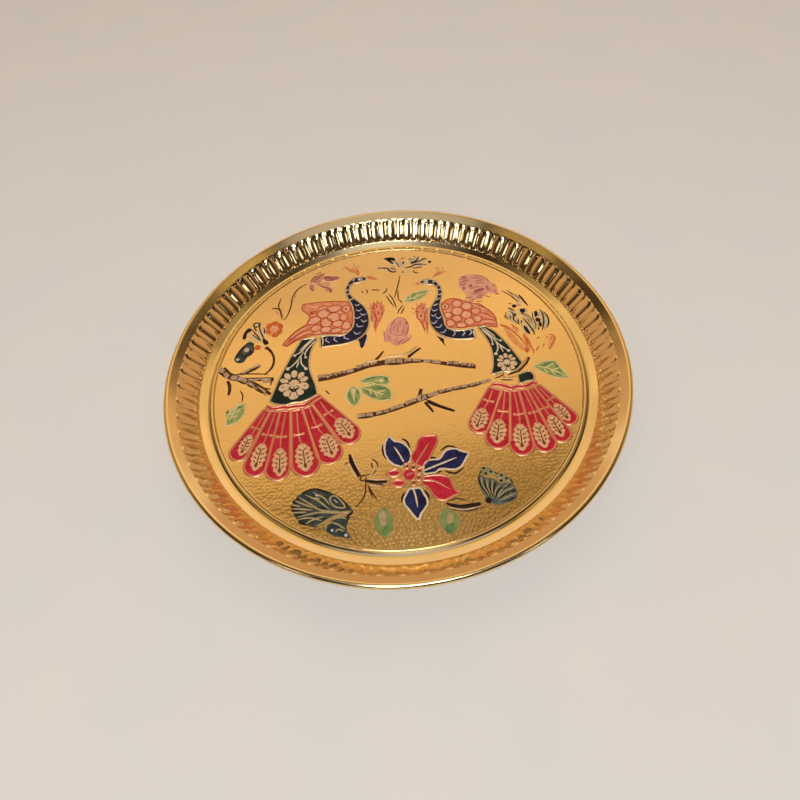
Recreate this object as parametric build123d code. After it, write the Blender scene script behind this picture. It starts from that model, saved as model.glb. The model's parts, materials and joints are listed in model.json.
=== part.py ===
from build123d import *
import os
from math import atan2, ceil, cos, hypot, pi, radians, sin, sqrt, tan

os.makedirs("parts", exist_ok=True)

# Puja thali: a round dish pressed from one brass sheet, with a flat floor, a smooth cove,
# a fluted flaring wall and a rolled rim. The floor is engraved with cells, and each cell is
# filled flush with enamel, which together draw two peacocks among branches and flowers.
# Origin at the centre of the flat underside, +Z up, +Y towards the top of the picture.

# Driving sizes of the dish, in millimetres
outer_radius = 125.0
overall_height = 15.4
sheet = 1.0
wall_width = 20.0
cove_radius = 7.0
cove_slope_degrees = 20.0
lower_panel = 2.5
upper_panel = 4.4
rim_slope_degrees = 30.0
rim_bead_radius = 1.6
rim_bead_sides = 12
cove_sides = 2

# Driving sizes of the flutes pressed into the wall
flute_count = 70
flute_radius = 5.5
flute_height = 0.6
flute_sides = 20
flute_fade = 2.4
run_out_share = 1.2

# Driving sizes of the enamel picture
picture_margin = 5.0
cell_depth = 0.4
stroke_sag = 0.15
turn_samples = 24

# Places that follow from the driving sizes
wall_foot_radius = outer_radius - wall_width
picture_radius = wall_foot_radius - picture_margin
floor_top = sheet
cell_bottom = floor_top - cell_depth


def share_point(share):
    return (share[0] * picture_radius, share[1] * picture_radius)


# The curve through the places of a run: a line, an arc or a smooth curve
def curve_through(shares):
    points = [share_point(share) for share in shares]
    if len(points) == 2:
        return Line(*points)
    if len(points) == 3:
        return ThreePointArc(*points)
    return Spline(*points)


# How many straight strokes of the graver follow a curve to within the stroke's sag
def stroke_count(curve):
    tangents = [curve % (number / turn_samples) for number in range(turn_samples + 1)]
    turn = sum(radians(first.get_angle(second)) for first, second in zip(tangents, tangents[1:]))
    return max(1, ceil(sqrt(curve.length * turn / (8 * stroke_sag))))


# The enamel that fills a cell, whose outline is cut in straight strokes along its curves
def filled_cell(curves):
    corners = []
    for curve in curves:
        strokes = stroke_count(curve)
        corners += [curve @ (number / strokes) for number in range(strokes)]
    outline = Face(Wire(Polyline(*corners, close=True).edges()))
    return extrude(Pos(0, 0, cell_bottom) * outline, amount=cell_depth, dir=(0, 0, 1)).solid()


# A closed cell made of runs of places, each run starting where the last one ended
def outline_cell(run_shares):
    curves = []
    start = run_shares[-1][-1]
    for run in run_shares:
        curves.append(curve_through([start] + run))
        start = run[-1]
    return filled_cell(curves)


# A band that swells and narrows along its centre line: (x, y, half width) at each station
def band_cell(station_shares):
    left = []
    right = []
    last = len(station_shares) - 1
    for index, (x, y, half) in enumerate(station_shares):
        before = station_shares[max(index - 1, 0)]
        after = station_shares[min(index + 1, last)]
        run = hypot(after[0] - before[0], after[1] - before[1])
        across = ((before[1] - after[1]) / run, (after[0] - before[0]) / run)
        left.append((x + across[0] * half, y + across[1] * half))
        right.append((x - across[0] * half, y - across[1] * half))
    right.reverse()
    ends = [curve_through([left[-1], right[0]]), curve_through([right[-1], left[0]])]
    return filled_cell([curve_through(left), ends[0], curve_through(right), ends[1]])


# A tail feather that widens from its root to a round tip: root and tip centre, half widths there
def feather_cell(root, tip, root_half_share, tip_half_share):
    run = hypot(tip[0] - root[0], tip[1] - root[1])
    along = ((tip[0] - root[0]) / run, (tip[1] - root[1]) / run)
    across = (-along[1], along[0])
    root_left = (root[0] + across[0] * root_half_share, root[1] + across[1] * root_half_share)
    root_right = (root[0] - across[0] * root_half_share, root[1] - across[1] * root_half_share)
    tip_left = (tip[0] + across[0] * tip_half_share, tip[1] + across[1] * tip_half_share)
    tip_right = (tip[0] - across[0] * tip_half_share, tip[1] - across[1] * tip_half_share)
    tip_end = (tip[0] + along[0] * tip_half_share, tip[1] + along[1] * tip_half_share)
    return outline_cell([[root_left], [tip_left], [tip_end, tip_right], [root_right]])


# A leaf or petal of two arcs from its base to its point, with the swell of each side
def leaf_cell(base, point, left_swell_share, right_swell_share):
    run = hypot(point[0] - base[0], point[1] - base[1])
    across = ((base[1] - point[1]) / run, (point[0] - base[0]) / run)
    middle = ((base[0] + point[0]) / 2, (base[1] + point[1]) / 2)
    left = (middle[0] + across[0] * left_swell_share, middle[1] + across[1] * left_swell_share)
    right = (middle[0] - across[0] * right_swell_share, middle[1] - across[1] * right_swell_share)
    return outline_cell([[left, point], [right, base]])


# A round cell about a centre
def disc_cell(centre, radius_share):
    west = (centre[0] - radius_share, centre[1])
    east = (centre[0] + radius_share, centre[1])
    north = (centre[0], centre[1] + radius_share)
    south = (centre[0], centre[1] - radius_share)
    return outline_cell([[north, east], [south, west]])


# The left peacock, as shares of the picture's radius
left_body_shares = [
    (-0.134, 0.786, 0.008), (-0.170, 0.789, 0.022), (-0.205, 0.782, 0.016), (-0.236, 0.756, 0.010),
    (-0.252, 0.710, 0.009), (-0.246, 0.655, 0.010), (-0.220, 0.605, 0.015), (-0.189, 0.545, 0.030),
    (-0.176, 0.475, 0.041), (-0.177, 0.410, 0.043), (-0.212, 0.340, 0.039), (-0.280, 0.304, 0.030),
    (-0.350, 0.303, 0.034), (-0.422, 0.302, 0.037),
]
left_thigh_shares = [
    [(-0.150, 0.325), (-0.154, 0.270), (-0.188, 0.230)],
    [(-0.190, 0.262), (-0.202, 0.288)],
]
left_wing_shares = [
    [(-0.231, 0.550), (-0.228, 0.460), (-0.235, 0.400)],
    [(-0.248, 0.368), (-0.282, 0.352)],
    [(-0.370, 0.358), (-0.440, 0.362), (-0.530, 0.345), (-0.620, 0.292)],
    [(-0.648, 0.304)],
    [(-0.600, 0.372), (-0.550, 0.420), (-0.496, 0.462), (-0.488, 0.520)],
    [(-0.536, 0.572)],
    [(-0.530, 0.616)],
    [(-0.390, 0.622), (-0.252, 0.605)],
]
left_tuft_shares = [
    [(-0.036, 0.545), (-0.034, 0.500), (-0.058, 0.430), (-0.098, 0.330)],
    [(-0.108, 0.385), (-0.116, 0.460), (-0.118, 0.530), (-0.070, 0.582)],
]
left_train_shares = [
    [(-0.532, 0.330)],
    [(-0.575, 0.245), (-0.622, 0.140), (-0.663, 0.035), (-0.704, -0.092)],
    [(-0.660, -0.116), (-0.612, -0.122)],
    [(-0.575, -0.110), (-0.535, -0.113)],
    [(-0.488, -0.096), (-0.447, -0.072)],
    [(-0.460, 0.000), (-0.487, 0.085), (-0.494, 0.170), (-0.480, 0.250), (-0.442, 0.335)],
]
left_ribbon_shares = [
    (-0.722, -0.127, 0.005), (-0.672, -0.144, 0.006), (-0.632, -0.139, 0.006), (-0.598, -0.146, 0.006),
    (-0.560, -0.139, 0.006), (-0.528, -0.144, 0.006), (-0.480, -0.120, 0.006), (-0.428, -0.086, 0.005),
]
left_fan_shares = [
    ((-0.723, -0.156), (-0.859, -0.404), 0.015, 0.043),
    ((-0.673, -0.166), (-0.766, -0.492), 0.021, 0.055),
    ((-0.618, -0.170), (-0.650, -0.523), 0.022, 0.059),
    ((-0.558, -0.171), (-0.505, -0.508), 0.024, 0.067),
    ((-0.498, -0.158), (-0.383, -0.452), 0.022, 0.064),
    ((-0.444, -0.120), (-0.278, -0.351), 0.029, 0.057),
]

# The right peacock, as shares of the picture's radius
right_body_shares = [
    (0.207, 0.710, 0.007), (0.240, 0.711, 0.020), (0.273, 0.706, 0.015), (0.299, 0.684, 0.010),
    (0.315, 0.650, 0.009), (0.315, 0.605, 0.010), (0.302, 0.555, 0.012), (0.280, 0.505, 0.020),
    (0.269, 0.450, 0.031), (0.270, 0.400, 0.039), (0.275, 0.345, 0.037), (0.299, 0.295, 0.029),
    (0.350, 0.262, 0.028), (0.410, 0.253, 0.029), (0.476, 0.255, 0.033),
]
right_thigh_shares = [
    [(0.284, 0.210), (0.302, 0.172)],
    [(0.294, 0.205), (0.296, 0.234)],
    [(0.254, 0.268)],
]
right_wing_shares = [
    [(0.400, 0.545), (0.460, 0.512), (0.525, 0.476), (0.585, 0.430), (0.618, 0.350)],
    [(0.616, 0.286)],
    [(0.550, 0.303), (0.500, 0.312), (0.430, 0.306), (0.360, 0.312)],
    [(0.334, 0.326), (0.326, 0.352)],
    [(0.326, 0.400), (0.312, 0.450), (0.312, 0.508)],
]
right_tuft_shares = [
    [(0.162, 0.500), (0.150, 0.450), (0.168, 0.385), (0.208, 0.274)],
    [(0.216, 0.330), (0.222, 0.410), (0.226, 0.480), (0.206, 0.534)],
]
right_train_shares = [
    [(0.545, 0.298)],
    [(0.584, 0.263), (0.622, 0.203), (0.664, 0.115), (0.708, 0.002)],
    [(0.652, -0.040), (0.600, -0.035)],
    [(0.532, -0.048)],
    [(0.556, 0.040), (0.560, 0.110), (0.548, 0.190), (0.506, 0.296)],
]
right_train_end_shares = [
    [(0.700, -0.066), (0.732, -0.058)],
    [(0.754, -0.085), (0.746, -0.116)],
    [(0.710, -0.117), (0.672, -0.130)],
    [(0.672, -0.078)],
]
right_ribbon_shares = [
    (0.520, -0.126, 0.005), (0.562, -0.128, 0.006), (0.600, -0.149, 0.006), (0.630, -0.158, 0.006),
    (0.662, -0.150, 0.006), (0.692, -0.157, 0.006), (0.722, -0.146, 0.006), (0.760, -0.138, 0.005),
]
right_fan_shares = [
    ((0.529, -0.155), (0.414, -0.366), 0.030, 0.053),
    ((0.588, -0.177), (0.496, -0.462), 0.015, 0.061),
    ((0.632, -0.182), (0.608, -0.518), 0.018, 0.057),
    ((0.679, -0.180), (0.728, -0.517), 0.017, 0.052),
    ((0.723, -0.174), (0.820, -0.473), 0.015, 0.047),
    ((0.760, -0.163), (0.882, -0.380), 0.011, 0.041),
]

# Branches and stems, as shares of the picture's radius
upper_branch_shares = [
    (-0.440, 0.030, 0.020), (-0.330, 0.043, 0.018), (-0.230, 0.066, 0.015), (-0.130, 0.096, 0.016),
    (-0.020, 0.102, 0.022), (0.040, 0.100, 0.026), (0.100, 0.096, 0.014), (0.220, 0.071, 0.011),
    (0.340, 0.036, 0.013), (0.448, 0.004, 0.008),
]
lower_branch_shares = [
    (-0.228, -0.248, 0.016), (-0.140, -0.244, 0.015), (-0.040, -0.227, 0.013), (0.060, -0.196, 0.014),
    (0.125, -0.172, 0.017), (0.225, -0.138, 0.012), (0.330, -0.125, 0.011), (0.430, -0.112, 0.010),
    (0.515, -0.092, 0.009),
]
left_branch_shares = [
    (-0.992, 0.168, 0.022), (-0.945, 0.112, 0.022), (-0.870, 0.076, 0.018), (-0.790, 0.030, 0.014),
    (-0.705, -0.045, 0.009),
]
twig_shares = {
    "upper_branch_left_twig": [(-0.108, 0.128, 0.008), (-0.082, 0.156, 0.007), (-0.060, 0.186, 0.005)],
    "upper_branch_right_twig": [(0.078, 0.126, 0.010), (0.112, 0.154, 0.008), (0.154, 0.184, 0.006)],
    "lower_branch_up_twig": [(0.116, -0.150, 0.009), (0.122, -0.128, 0.010), (0.130, -0.106, 0.010)],
    "lower_branch_down_twig": [(0.142, -0.198, 0.008), (0.160, -0.230, 0.007), (0.180, -0.266, 0.005)],
    "lower_branch_right_twig": [(0.160, -0.192, 0.010), (0.215, -0.230, 0.008), (0.293, -0.273, 0.006)],
    "lower_branch_far_twig": [(0.625, -0.064, 0.006), (0.690, -0.038, 0.006), (0.755, 0.040, 0.008)],
    "left_branch_up_twig": [(-0.884, 0.119, 0.008), (-0.842, 0.128, 0.009), (-0.771, 0.168, 0.008)],
    "left_branch_side_twig": [(-0.796, 0.069, 0.010), (-0.760, 0.064, 0.010), (-0.690, 0.056, 0.012)],
    "left_branch_down_twig": [(-0.952, 0.076, 0.010), (-0.938, 0.034, 0.010), (-0.940, -0.020, 0.008)],
    "bottom_twig": [(-0.279, -0.478, 0.006), (-0.262, -0.540, 0.009), (-0.232, -0.612, 0.010)],
    "bottom_side_twig": [(-0.205, -0.640, 0.006), (-0.150, -0.652, 0.008), (-0.096, -0.656, 0.007)],
    "bottom_lotus_stem": [(0.186, -0.804, 0.006), (0.262, -0.836, 0.010), (0.350, -0.822, 0.008)],
    "blue_blossom_stem": [(-0.748, 0.300, 0.010), (-0.702, 0.240, 0.007), (-0.742, 0.100, 0.006)],
}

# Leaves, buds and flowers, as shares of the picture's radius
small_leaf_share = ((-0.238, -0.174), (-0.244, -0.046), 0.036, 0.034)
sprig_leaf_share = ((0.096, 0.560), (0.244, 0.630), 0.030, 0.030)
left_leaf_share = ((-0.850, -0.092), (-0.935, -0.222), 0.040, 0.030)
left_green_bud_share = ((-0.122, -0.955), (-0.118, -0.790), 0.052, 0.040)
right_green_bud_share = ((0.192, -0.962), (0.172, -0.832), 0.042, 0.056)
pink_bud_share = ((0.020, 0.212), (0.046, 0.440), 0.070, 0.066)
large_leaf_shares = [
    [(-0.120, 0.010), (-0.048, -0.004)],
    [(-0.044, -0.040)],
    [(-0.090, -0.060)],
    [(-0.050, -0.085), (-0.044, -0.152)],
    [(-0.115, -0.148), (-0.165, -0.118), (-0.200, -0.064)],
    [(-0.120, -0.048)],
    [(-0.204, -0.016)],
]
right_leaf_shares = [
    [(0.820, -0.006), (0.892, -0.006)],
    [(0.904, -0.050), (0.938, -0.124)],
    [(0.885, -0.116), (0.820, -0.076), (0.772, -0.028)],
]
top_lotus_shares = [
    ((0.064, 0.828), (-0.050, 0.880), 0.012, 0.010),
    ((0.062, 0.868), (-0.004, 0.952), 0.012, 0.020),
    ((0.112, 0.872), (0.112, 0.918), 0.008, 0.008),
    ((0.150, 0.884), (0.218, 0.948), 0.010, 0.010),
    ((0.158, 0.872), (0.262, 0.912), 0.008, 0.006),
    ((0.150, 0.856), (0.284, 0.884), 0.004, 0.018),
]
mauve_lotus_shares = [
    [(-0.478, 0.830), (-0.420, 0.872)],
    [(-0.385, 0.830), (-0.325, 0.838)],
    [(-0.312, 0.760), (-0.352, 0.712)],
    [(-0.400, 0.752), (-0.462, 0.716)],
    [(-0.500, 0.750), (-0.492, 0.780)],
]
pink_lotus_shares = [
    [(0.438, 0.640), (0.452, 0.722)],
    [(0.540, 0.736), (0.632, 0.660)],
    [(0.668, 0.600), (0.650, 0.552)],
    [(0.600, 0.560), (0.562, 0.520)],
    [(0.520, 0.520), (0.470, 0.546)],
    [(0.470, 0.580)],
]
orange_blossom_radius_share = 0.048
orange_blossom_share = (-0.701, 0.430)
blue_blossom_shares = [
    ((-0.752, 0.330), (-0.800, 0.508), 0.022, 0.020),
    ((-0.780, 0.342), (-0.874, 0.440), 0.026, 0.008),
]
blue_bud_shares = [
    [(-0.850, 0.352), (-0.818, 0.318)],
    [(-0.816, 0.270), (-0.852, 0.240)],
    [(-0.866, 0.208)],
    [(-0.900, 0.200), (-0.928, 0.236)],
    [(-0.906, 0.290), (-0.868, 0.338)],
]
grey_lotus_shares = [
    ((0.788, 0.204), (0.760, 0.318), 0.020, 0.006),
    ((0.822, 0.206), (0.788, 0.408), 0.022, 0.030),
    ((0.736, 0.290), (0.716, 0.428), 0.036, 0.022),
    ((0.848, 0.238), (0.868, 0.396), 0.016, 0.014),
    ((0.880, 0.226), (0.890, 0.392), 0.002, 0.034),
]
orange_petal_shares = [
    ((0.752, 0.074), (0.650, 0.296), 0.026, 0.012),
    ((0.768, 0.080), (0.762, 0.220), 0.018, 0.022),
    ((0.876, 0.080), (0.918, 0.196), 0.014, 0.026),
]
lotus_pad_shares = [
    [(-0.350, -0.704), (-0.440, -0.662), (-0.525, -0.672), (-0.566, -0.724)],
    [(-0.566, -0.780), (-0.520, -0.836), (-0.452, -0.866)],
    [(-0.390, -0.820), (-0.268, -0.800)],
]
lotus_pad_lobe_shares = [
    [(-0.355, -0.832), (-0.420, -0.872)],
    [(-0.395, -0.902), (-0.330, -0.928), (-0.282, -0.938)],
    [(-0.306, -0.880), (-0.284, -0.826)],
]
bottom_lotus_shares = [
    ((0.384, -0.806), (0.372, -0.664), 0.014, 0.010),
    ((0.398, -0.806), (0.434, -0.690), 0.008, 0.012),
    ((0.412, -0.806), (0.508, -0.728), 0.014, 0.012),
    ((0.424, -0.820), (0.536, -0.768), 0.008, 0.024),
]

# The star flower, as shares of the picture's radius
star_blue_petal_shares = [
    [
        [(-0.092, -0.470), (-0.078, -0.528), (-0.018, -0.574)],
        [(0.012, -0.562)],
        [(0.032, -0.530), (0.028, -0.486), (0.000, -0.446), (-0.044, -0.430)],
        [(-0.068, -0.396)],
    ],
    [
        [(0.150, -0.560), (0.182, -0.560), (0.212, -0.520), (0.250, -0.506), (0.290, -0.524)],
        [(0.326, -0.540)],
        [(0.298, -0.582), (0.266, -0.616), (0.225, -0.616), (0.190, -0.606), (0.150, -0.626)],
        [(0.096, -0.628)],
        [(0.096, -0.612)],
    ],
    [
        [(-0.002, -0.738), (-0.018, -0.776), (0.004, -0.814), (0.020, -0.842)],
        [(0.040, -0.872)],
        [(0.060, -0.834), (0.092, -0.788), (0.078, -0.746), (0.064, -0.712)],
        [(0.014, -0.712)],
    ],
]
star_red_petal_shares = [
    [
        [(0.044, -0.520), (0.070, -0.486), (0.084, -0.438), (0.120, -0.414)],
        [(0.176, -0.416)],
        [(0.176, -0.456), (0.150, -0.498), (0.124, -0.548), (0.084, -0.588)],
        [(0.054, -0.566)],
    ],
    [
        [(0.160, -0.650), (0.216, -0.676), (0.222, -0.712), (0.254, -0.756)],
        [(0.216, -0.766), (0.174, -0.782), (0.132, -0.756), (0.116, -0.716), (0.082, -0.690)],
        [(0.094, -0.652)],
    ],
]
star_small_petal_shares = [
    ((-0.028, -0.612), (-0.088, -0.612), 0.013, 0.013),
    ((-0.008, -0.674), (-0.066, -0.668), 0.013, 0.013),
]
star_heart_share = (0.018, -0.628)
star_heart_radius_share = 0.030

# Each piece of enamel by name, with the cells that it fills
enamel = {
    "left_peacock_body": [band_cell(left_body_shares)],
    "left_peacock_thigh": [outline_cell(left_thigh_shares)],
    "left_peacock_wing": [outline_cell(left_wing_shares)],
    "left_peacock_breast_tuft": [outline_cell(left_tuft_shares)],
    "left_peacock_train": [outline_cell(left_train_shares)],
    "left_peacock_ribbon": [band_cell(left_ribbon_shares)],
    "right_peacock_body": [band_cell(right_body_shares)],
    "right_peacock_thigh": [outline_cell(right_thigh_shares)],
    "right_peacock_wing": [outline_cell(right_wing_shares)],
    "right_peacock_breast_tuft": [outline_cell(right_tuft_shares)],
    "right_peacock_train": [outline_cell(right_train_shares)],
    "right_peacock_train_end": [outline_cell(right_train_end_shares)],
    "right_peacock_ribbon": [band_cell(right_ribbon_shares)],
    "upper_branch": [band_cell(upper_branch_shares)],
    "lower_branch": [band_cell(lower_branch_shares)],
    "left_branch": [band_cell(left_branch_shares)],
    "small_leaf": [leaf_cell(*small_leaf_share)],
    "large_leaf": [outline_cell(large_leaf_shares)],
    "sprig_leaf": [leaf_cell(*sprig_leaf_share)],
    "left_leaf": [leaf_cell(*left_leaf_share)],
    "right_leaf": [outline_cell(right_leaf_shares)],
    "left_green_bud": [leaf_cell(*left_green_bud_share)],
    "right_green_bud": [leaf_cell(*right_green_bud_share)],
    "pink_bud": [leaf_cell(*pink_bud_share)],
    "top_lotus_petals": [leaf_cell(*row) for row in top_lotus_shares],
    "mauve_lotus": [outline_cell(mauve_lotus_shares)],
    "pink_lotus": [outline_cell(pink_lotus_shares)],
    "orange_blossom": [disc_cell(orange_blossom_share, orange_blossom_radius_share)],
    "blue_blossom_petals": [leaf_cell(*row) for row in blue_blossom_shares],
    "blue_bud": [outline_cell(blue_bud_shares)],
    "grey_lotus_petals": [leaf_cell(*row) for row in grey_lotus_shares],
    "orange_petals": [leaf_cell(*row) for row in orange_petal_shares],
    "lotus_pad": [outline_cell(lotus_pad_shares)],
    "lotus_pad_lobe": [outline_cell(lotus_pad_lobe_shares)],
    "bottom_lotus_petals": [leaf_cell(*row) for row in bottom_lotus_shares],
    "star_flower_blue_petals": [outline_cell(row) for row in star_blue_petal_shares],
    "star_flower_red_petals": [outline_cell(row) for row in star_red_petal_shares],
    "star_flower_small_petals": [leaf_cell(*row) for row in star_small_petal_shares],
    "star_flower_heart": [disc_cell(star_heart_share, star_heart_radius_share)],
    "twigs": [band_cell(row) for row in twig_shares.values()],
}
for side, fan_shares in (("left", left_fan_shares), ("right", right_fan_shares)):
    for number, row in enumerate(fan_shares, start=1):
        enamel[f"{side}_peacock_feather_{number}"] = [feather_cell(*row)]

# The dish's section, as radius and height: floor, cove, three straight panels and the rim's bead
cove_slope = radians(cove_slope_degrees)
rim_slope = radians(rim_slope_degrees)


# A place of the section, moved along a slope and then behind the face that rises along it
def moved(place, slope, along, behind):
    return (
        place[0] + along * cos(slope) + behind * sin(slope),
        place[1] + along * sin(slope) - behind * cos(slope),
    )


# The corner of two faces that lie a depth behind the inner faces of two panels
def corner(place, lower_slope, upper_slope, behind):
    half_bend = (upper_slope - lower_slope) / 2
    return moved(place, lower_slope + half_bend, 0, behind / cos(half_bend))


# The face of the cove, a depth behind the inner one, from the floor to the first panel
def cove_places(behind):
    slopes = [cove_slope * number / cove_sides for number in range(cove_sides + 1)]
    return [moved(cove_centre, slope, 0, cove_radius + behind) for slope in slopes]


cove_centre = (wall_foot_radius, floor_top + cove_radius)
bead_centre = (outer_radius - rim_bead_radius, overall_height - rim_bead_radius)
flute_foot = moved(cove_places(0)[-1], cove_slope, lower_panel, 0)
rim = moved(bead_centre, rim_slope, 0, -rim_bead_radius)
flute_head = moved(rim, rim_slope, -upper_panel, 0)
flute_slope = atan2(flute_head[1] - flute_foot[1], flute_head[0] - flute_foot[0])


# The face of the panels, a depth behind the inner one, from the cove to the rim
def panel_places(behind):
    return [
        cove_places(behind)[-1],
        corner(flute_foot, cove_slope, flute_slope, behind),
        corner(flute_head, flute_slope, rim_slope, behind),
        moved(rim, rim_slope, 0, behind),
    ]


inner_face = [(picture_radius, floor_top), *cove_places(0)[:-1], *panel_places(0)]
outer_face = [(picture_radius, 0), *cove_places(sheet)[:-1], *panel_places(sheet)]
sheet_section = make_face(Polyline(*inner_face, *reversed(outer_face), close=True))
side_turn = 360 / rim_bead_sides
bead_section = RegularPolygon(rim_bead_radius, rim_bead_sides, major_radius=False, rotation=side_turn / 2)
rolled_section = sheet_section + Pos(*bead_centre) * bead_section


# A flute is a round bar pressed out from behind, which runs out on the panel below it and stops
# a gap short of the corner above it, where the wall turns out into its plain band
def flute_bar(radius, behind, gap):
    places = panel_places(behind)
    run_out = run_out_share * flute_height
    low = moved(places[1], flute_slope, -run_out / tan(flute_slope - cove_slope), 0)
    high = moved(places[2], flute_slope, -gap, 0)
    length = hypot(high[0] - low[0], high[1] - low[1])
    axis = moved(low, flute_slope, 0, flute_radius - flute_height - behind)
    plane = Plane(
        origin=(axis[0], 0, axis[1]),
        x_dir=(0, 1, 0),
        z_dir=(cos(flute_slope), 0, sin(flute_slope)),
    )
    return extrude(plane * RegularPolygon(radius, flute_sides), length)


# One flute's sector of the dish is straight across, so that the wall has as many sides as flutes
half_turn = pi / flute_count
half_width = outer_radius * tan(half_turn)


def across_sector(face):
    return extrude(Plane.XZ * face, half_width, both=True)


# The crest dies away over its last stretch, down to the corner under the band
crest_zone = Polyline(
    *panel_places(-flute_height)[:2],
    moved(flute_head, flute_slope, -flute_fade, -flute_height),
    flute_head,
    *reversed(panel_places(sheet / 2)[:3]),
    close=True,
)
crest = flute_bar(flute_radius, 0, 0) & across_sector(make_face(crest_zone))
wedge_outline = Polygon((0, 0), (outer_radius, -half_width), (outer_radius, half_width), align=None)
wedge = extrude(wedge_outline, overall_height)
hollow = flute_bar(flute_radius - sheet, sheet, flute_fade)
sector = (across_sector(rolled_section) & wedge) + crest - hollow

# The dish: the middle of the floor, and a sector for each flute round it
floor_corner = picture_radius / cos(half_turn)
floor_turns = [(2 * number + 1) * half_turn for number in range(flute_count)]
floor_corners = [(floor_corner * cos(turn), floor_corner * sin(turn)) for turn in floor_turns]
floor = extrude(Polygon(*floor_corners, align=None), sheet)
sectors = [Rot(0, 0, 360 * number / flute_count) * sector.solid() for number in range(flute_count)]
thali_body = floor.solid().fuse(*sectors).clean()

# The cells are cut with the enamel that fills them, because the glass is fired in place
thali_body = thali_body.cut(*[cell for cells in enamel.values() for cell in cells]).solid()

export_step(thali_body, "parts/thali_body.step")
for name, cells in enamel.items():
    piece = cells[0] if len(cells) == 1 else Compound(cells)
    export_step(piece, f"parts/{name}_enamel.step")
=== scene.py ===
import json
import math
import bpy
import bmesh
import numpy as np
from mathutils import Matrix, Vector


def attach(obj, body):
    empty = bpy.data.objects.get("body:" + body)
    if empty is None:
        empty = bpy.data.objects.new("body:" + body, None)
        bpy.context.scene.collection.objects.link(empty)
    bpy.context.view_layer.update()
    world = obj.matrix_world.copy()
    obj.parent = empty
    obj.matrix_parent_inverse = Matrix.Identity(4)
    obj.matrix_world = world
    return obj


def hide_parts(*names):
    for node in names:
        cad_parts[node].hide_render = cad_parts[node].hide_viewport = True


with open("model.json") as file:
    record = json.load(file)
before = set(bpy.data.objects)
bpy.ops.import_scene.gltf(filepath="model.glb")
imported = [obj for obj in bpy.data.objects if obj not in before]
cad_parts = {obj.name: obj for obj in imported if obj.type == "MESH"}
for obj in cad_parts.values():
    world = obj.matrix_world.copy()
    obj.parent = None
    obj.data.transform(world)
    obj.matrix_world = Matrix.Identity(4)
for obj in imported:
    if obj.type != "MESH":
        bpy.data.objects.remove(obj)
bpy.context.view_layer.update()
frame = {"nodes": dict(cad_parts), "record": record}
mm = 0.001  # every size below is in millimetres of the real plate
print("frame loaded,", len(frame["nodes"]), "nodes")


# sRGB hex to the linear colour that a shader takes
def linear(hexCode):
    parts = [int(hexCode[i:i + 2], 16) / 255 for i in (1, 3, 5)]
    return tuple(p / 12.92 if p <= 0.04045 else ((p + 0.055) / 1.055) ** 2.4 for p in parts) + (1.0,)


# one node, with its settings, its input values and its links
def addNode(tree, kind, settings=None, inputs=None):
    node = tree.nodes.new(kind)
    for name, value in (settings or {}).items():
        setattr(node, name, value)
    for name, value in (inputs or {}).items():
        if isinstance(value, bpy.types.NodeSocket):
            tree.links.new(value, node.inputs[name])
        else:
            node.inputs[name].default_value = value
    return node


# an empty material with its output, its shader and the place on the object in millimetres
def newMaterial(name):
    material = bpy.data.materials.new(name)
    material.use_nodes = True
    tree = material.node_tree
    tree.nodes.clear()
    shader = addNode(tree, "ShaderNodeBsdfPrincipled")
    addNode(tree, "ShaderNodeOutputMaterial", inputs={"Surface": shader.outputs["BSDF"]})
    coords = addNode(tree, "ShaderNodeTexCoord")
    place = addNode(tree, "ShaderNodeVectorMath", {"operation": "SCALE"},
                    {0: coords.outputs["Object"], "Scale": 1 / mm}).outputs["Vector"]
    return material, tree, shader, place


# two colours, mixed by a value from 0 to 1
def mixColours(tree, factor, first, second):
    mix = addNode(tree, "ShaderNodeMix", {"data_type": "RGBA"}, {"Factor": factor})
    for socket, colour in ((mix.inputs[6], first), (mix.inputs[7], second)):
        if isinstance(colour, str):
            socket.default_value = linear(colour)
        else:
            tree.links.new(colour, socket)
    return mix.outputs[2]


# Polished brass, spun and buffed: a yellow mirror, a little cloudy where hands have been
brassLook = {"bright": "#F3DAA6", "cloudy": "#EBCE96", "cloudMm": 26, "roughness": (0.12, 0.19)}
buffing = {"detail": 4.0, "cloudFrom": 0.35, "cloudTo": 0.65,
           "lineMm": 0.8, "lineDetail": 2.0, "bump": 0.06, "bumpMm": 0.02}


def polishedBrass(name, look):
    material, tree, shader, place = newMaterial(name)
    clouds = addNode(tree, "ShaderNodeTexNoise", inputs={
        "Vector": place, "Scale": 1 / look["cloudMm"], "Detail": buffing["detail"]})
    colour = mixColours(tree, clouds.outputs["Fac"], look["bright"], look["cloudy"])
    tree.links.new(colour, shader.inputs["Base Color"])
    low, high = look["roughness"]
    rough = addNode(tree, "ShaderNodeMapRange", inputs={
        "Value": clouds.outputs["Fac"], "From Min": buffing["cloudFrom"], "From Max": buffing["cloudTo"],
        "To Min": low, "To Max": high})
    tree.links.new(rough.outputs["Result"], shader.inputs["Roughness"])
    flat = addNode(tree, "ShaderNodeVectorMath", {"operation": "MULTIPLY"}, {0: place, 1: (1, 1, 0)})
    radius = addNode(tree, "ShaderNodeVectorMath", {"operation": "LENGTH"}, {0: flat.outputs["Vector"]})
    lines = addNode(tree, "ShaderNodeTexNoise", {"noise_dimensions": "1D"}, {
        "W": radius.outputs["Value"], "Scale": 1 / buffing["lineMm"], "Detail": buffing["lineDetail"]})
    bump = addNode(tree, "ShaderNodeBump", inputs={
        "Height": lines.outputs["Fac"], "Strength": buffing["bump"], "Distance": buffing["bumpMm"] * mm})
    tree.links.new(bump.outputs["Normal"], shader.inputs["Normal"])
    shader.inputs["Metallic"].default_value = 1.0
    return material


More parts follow.
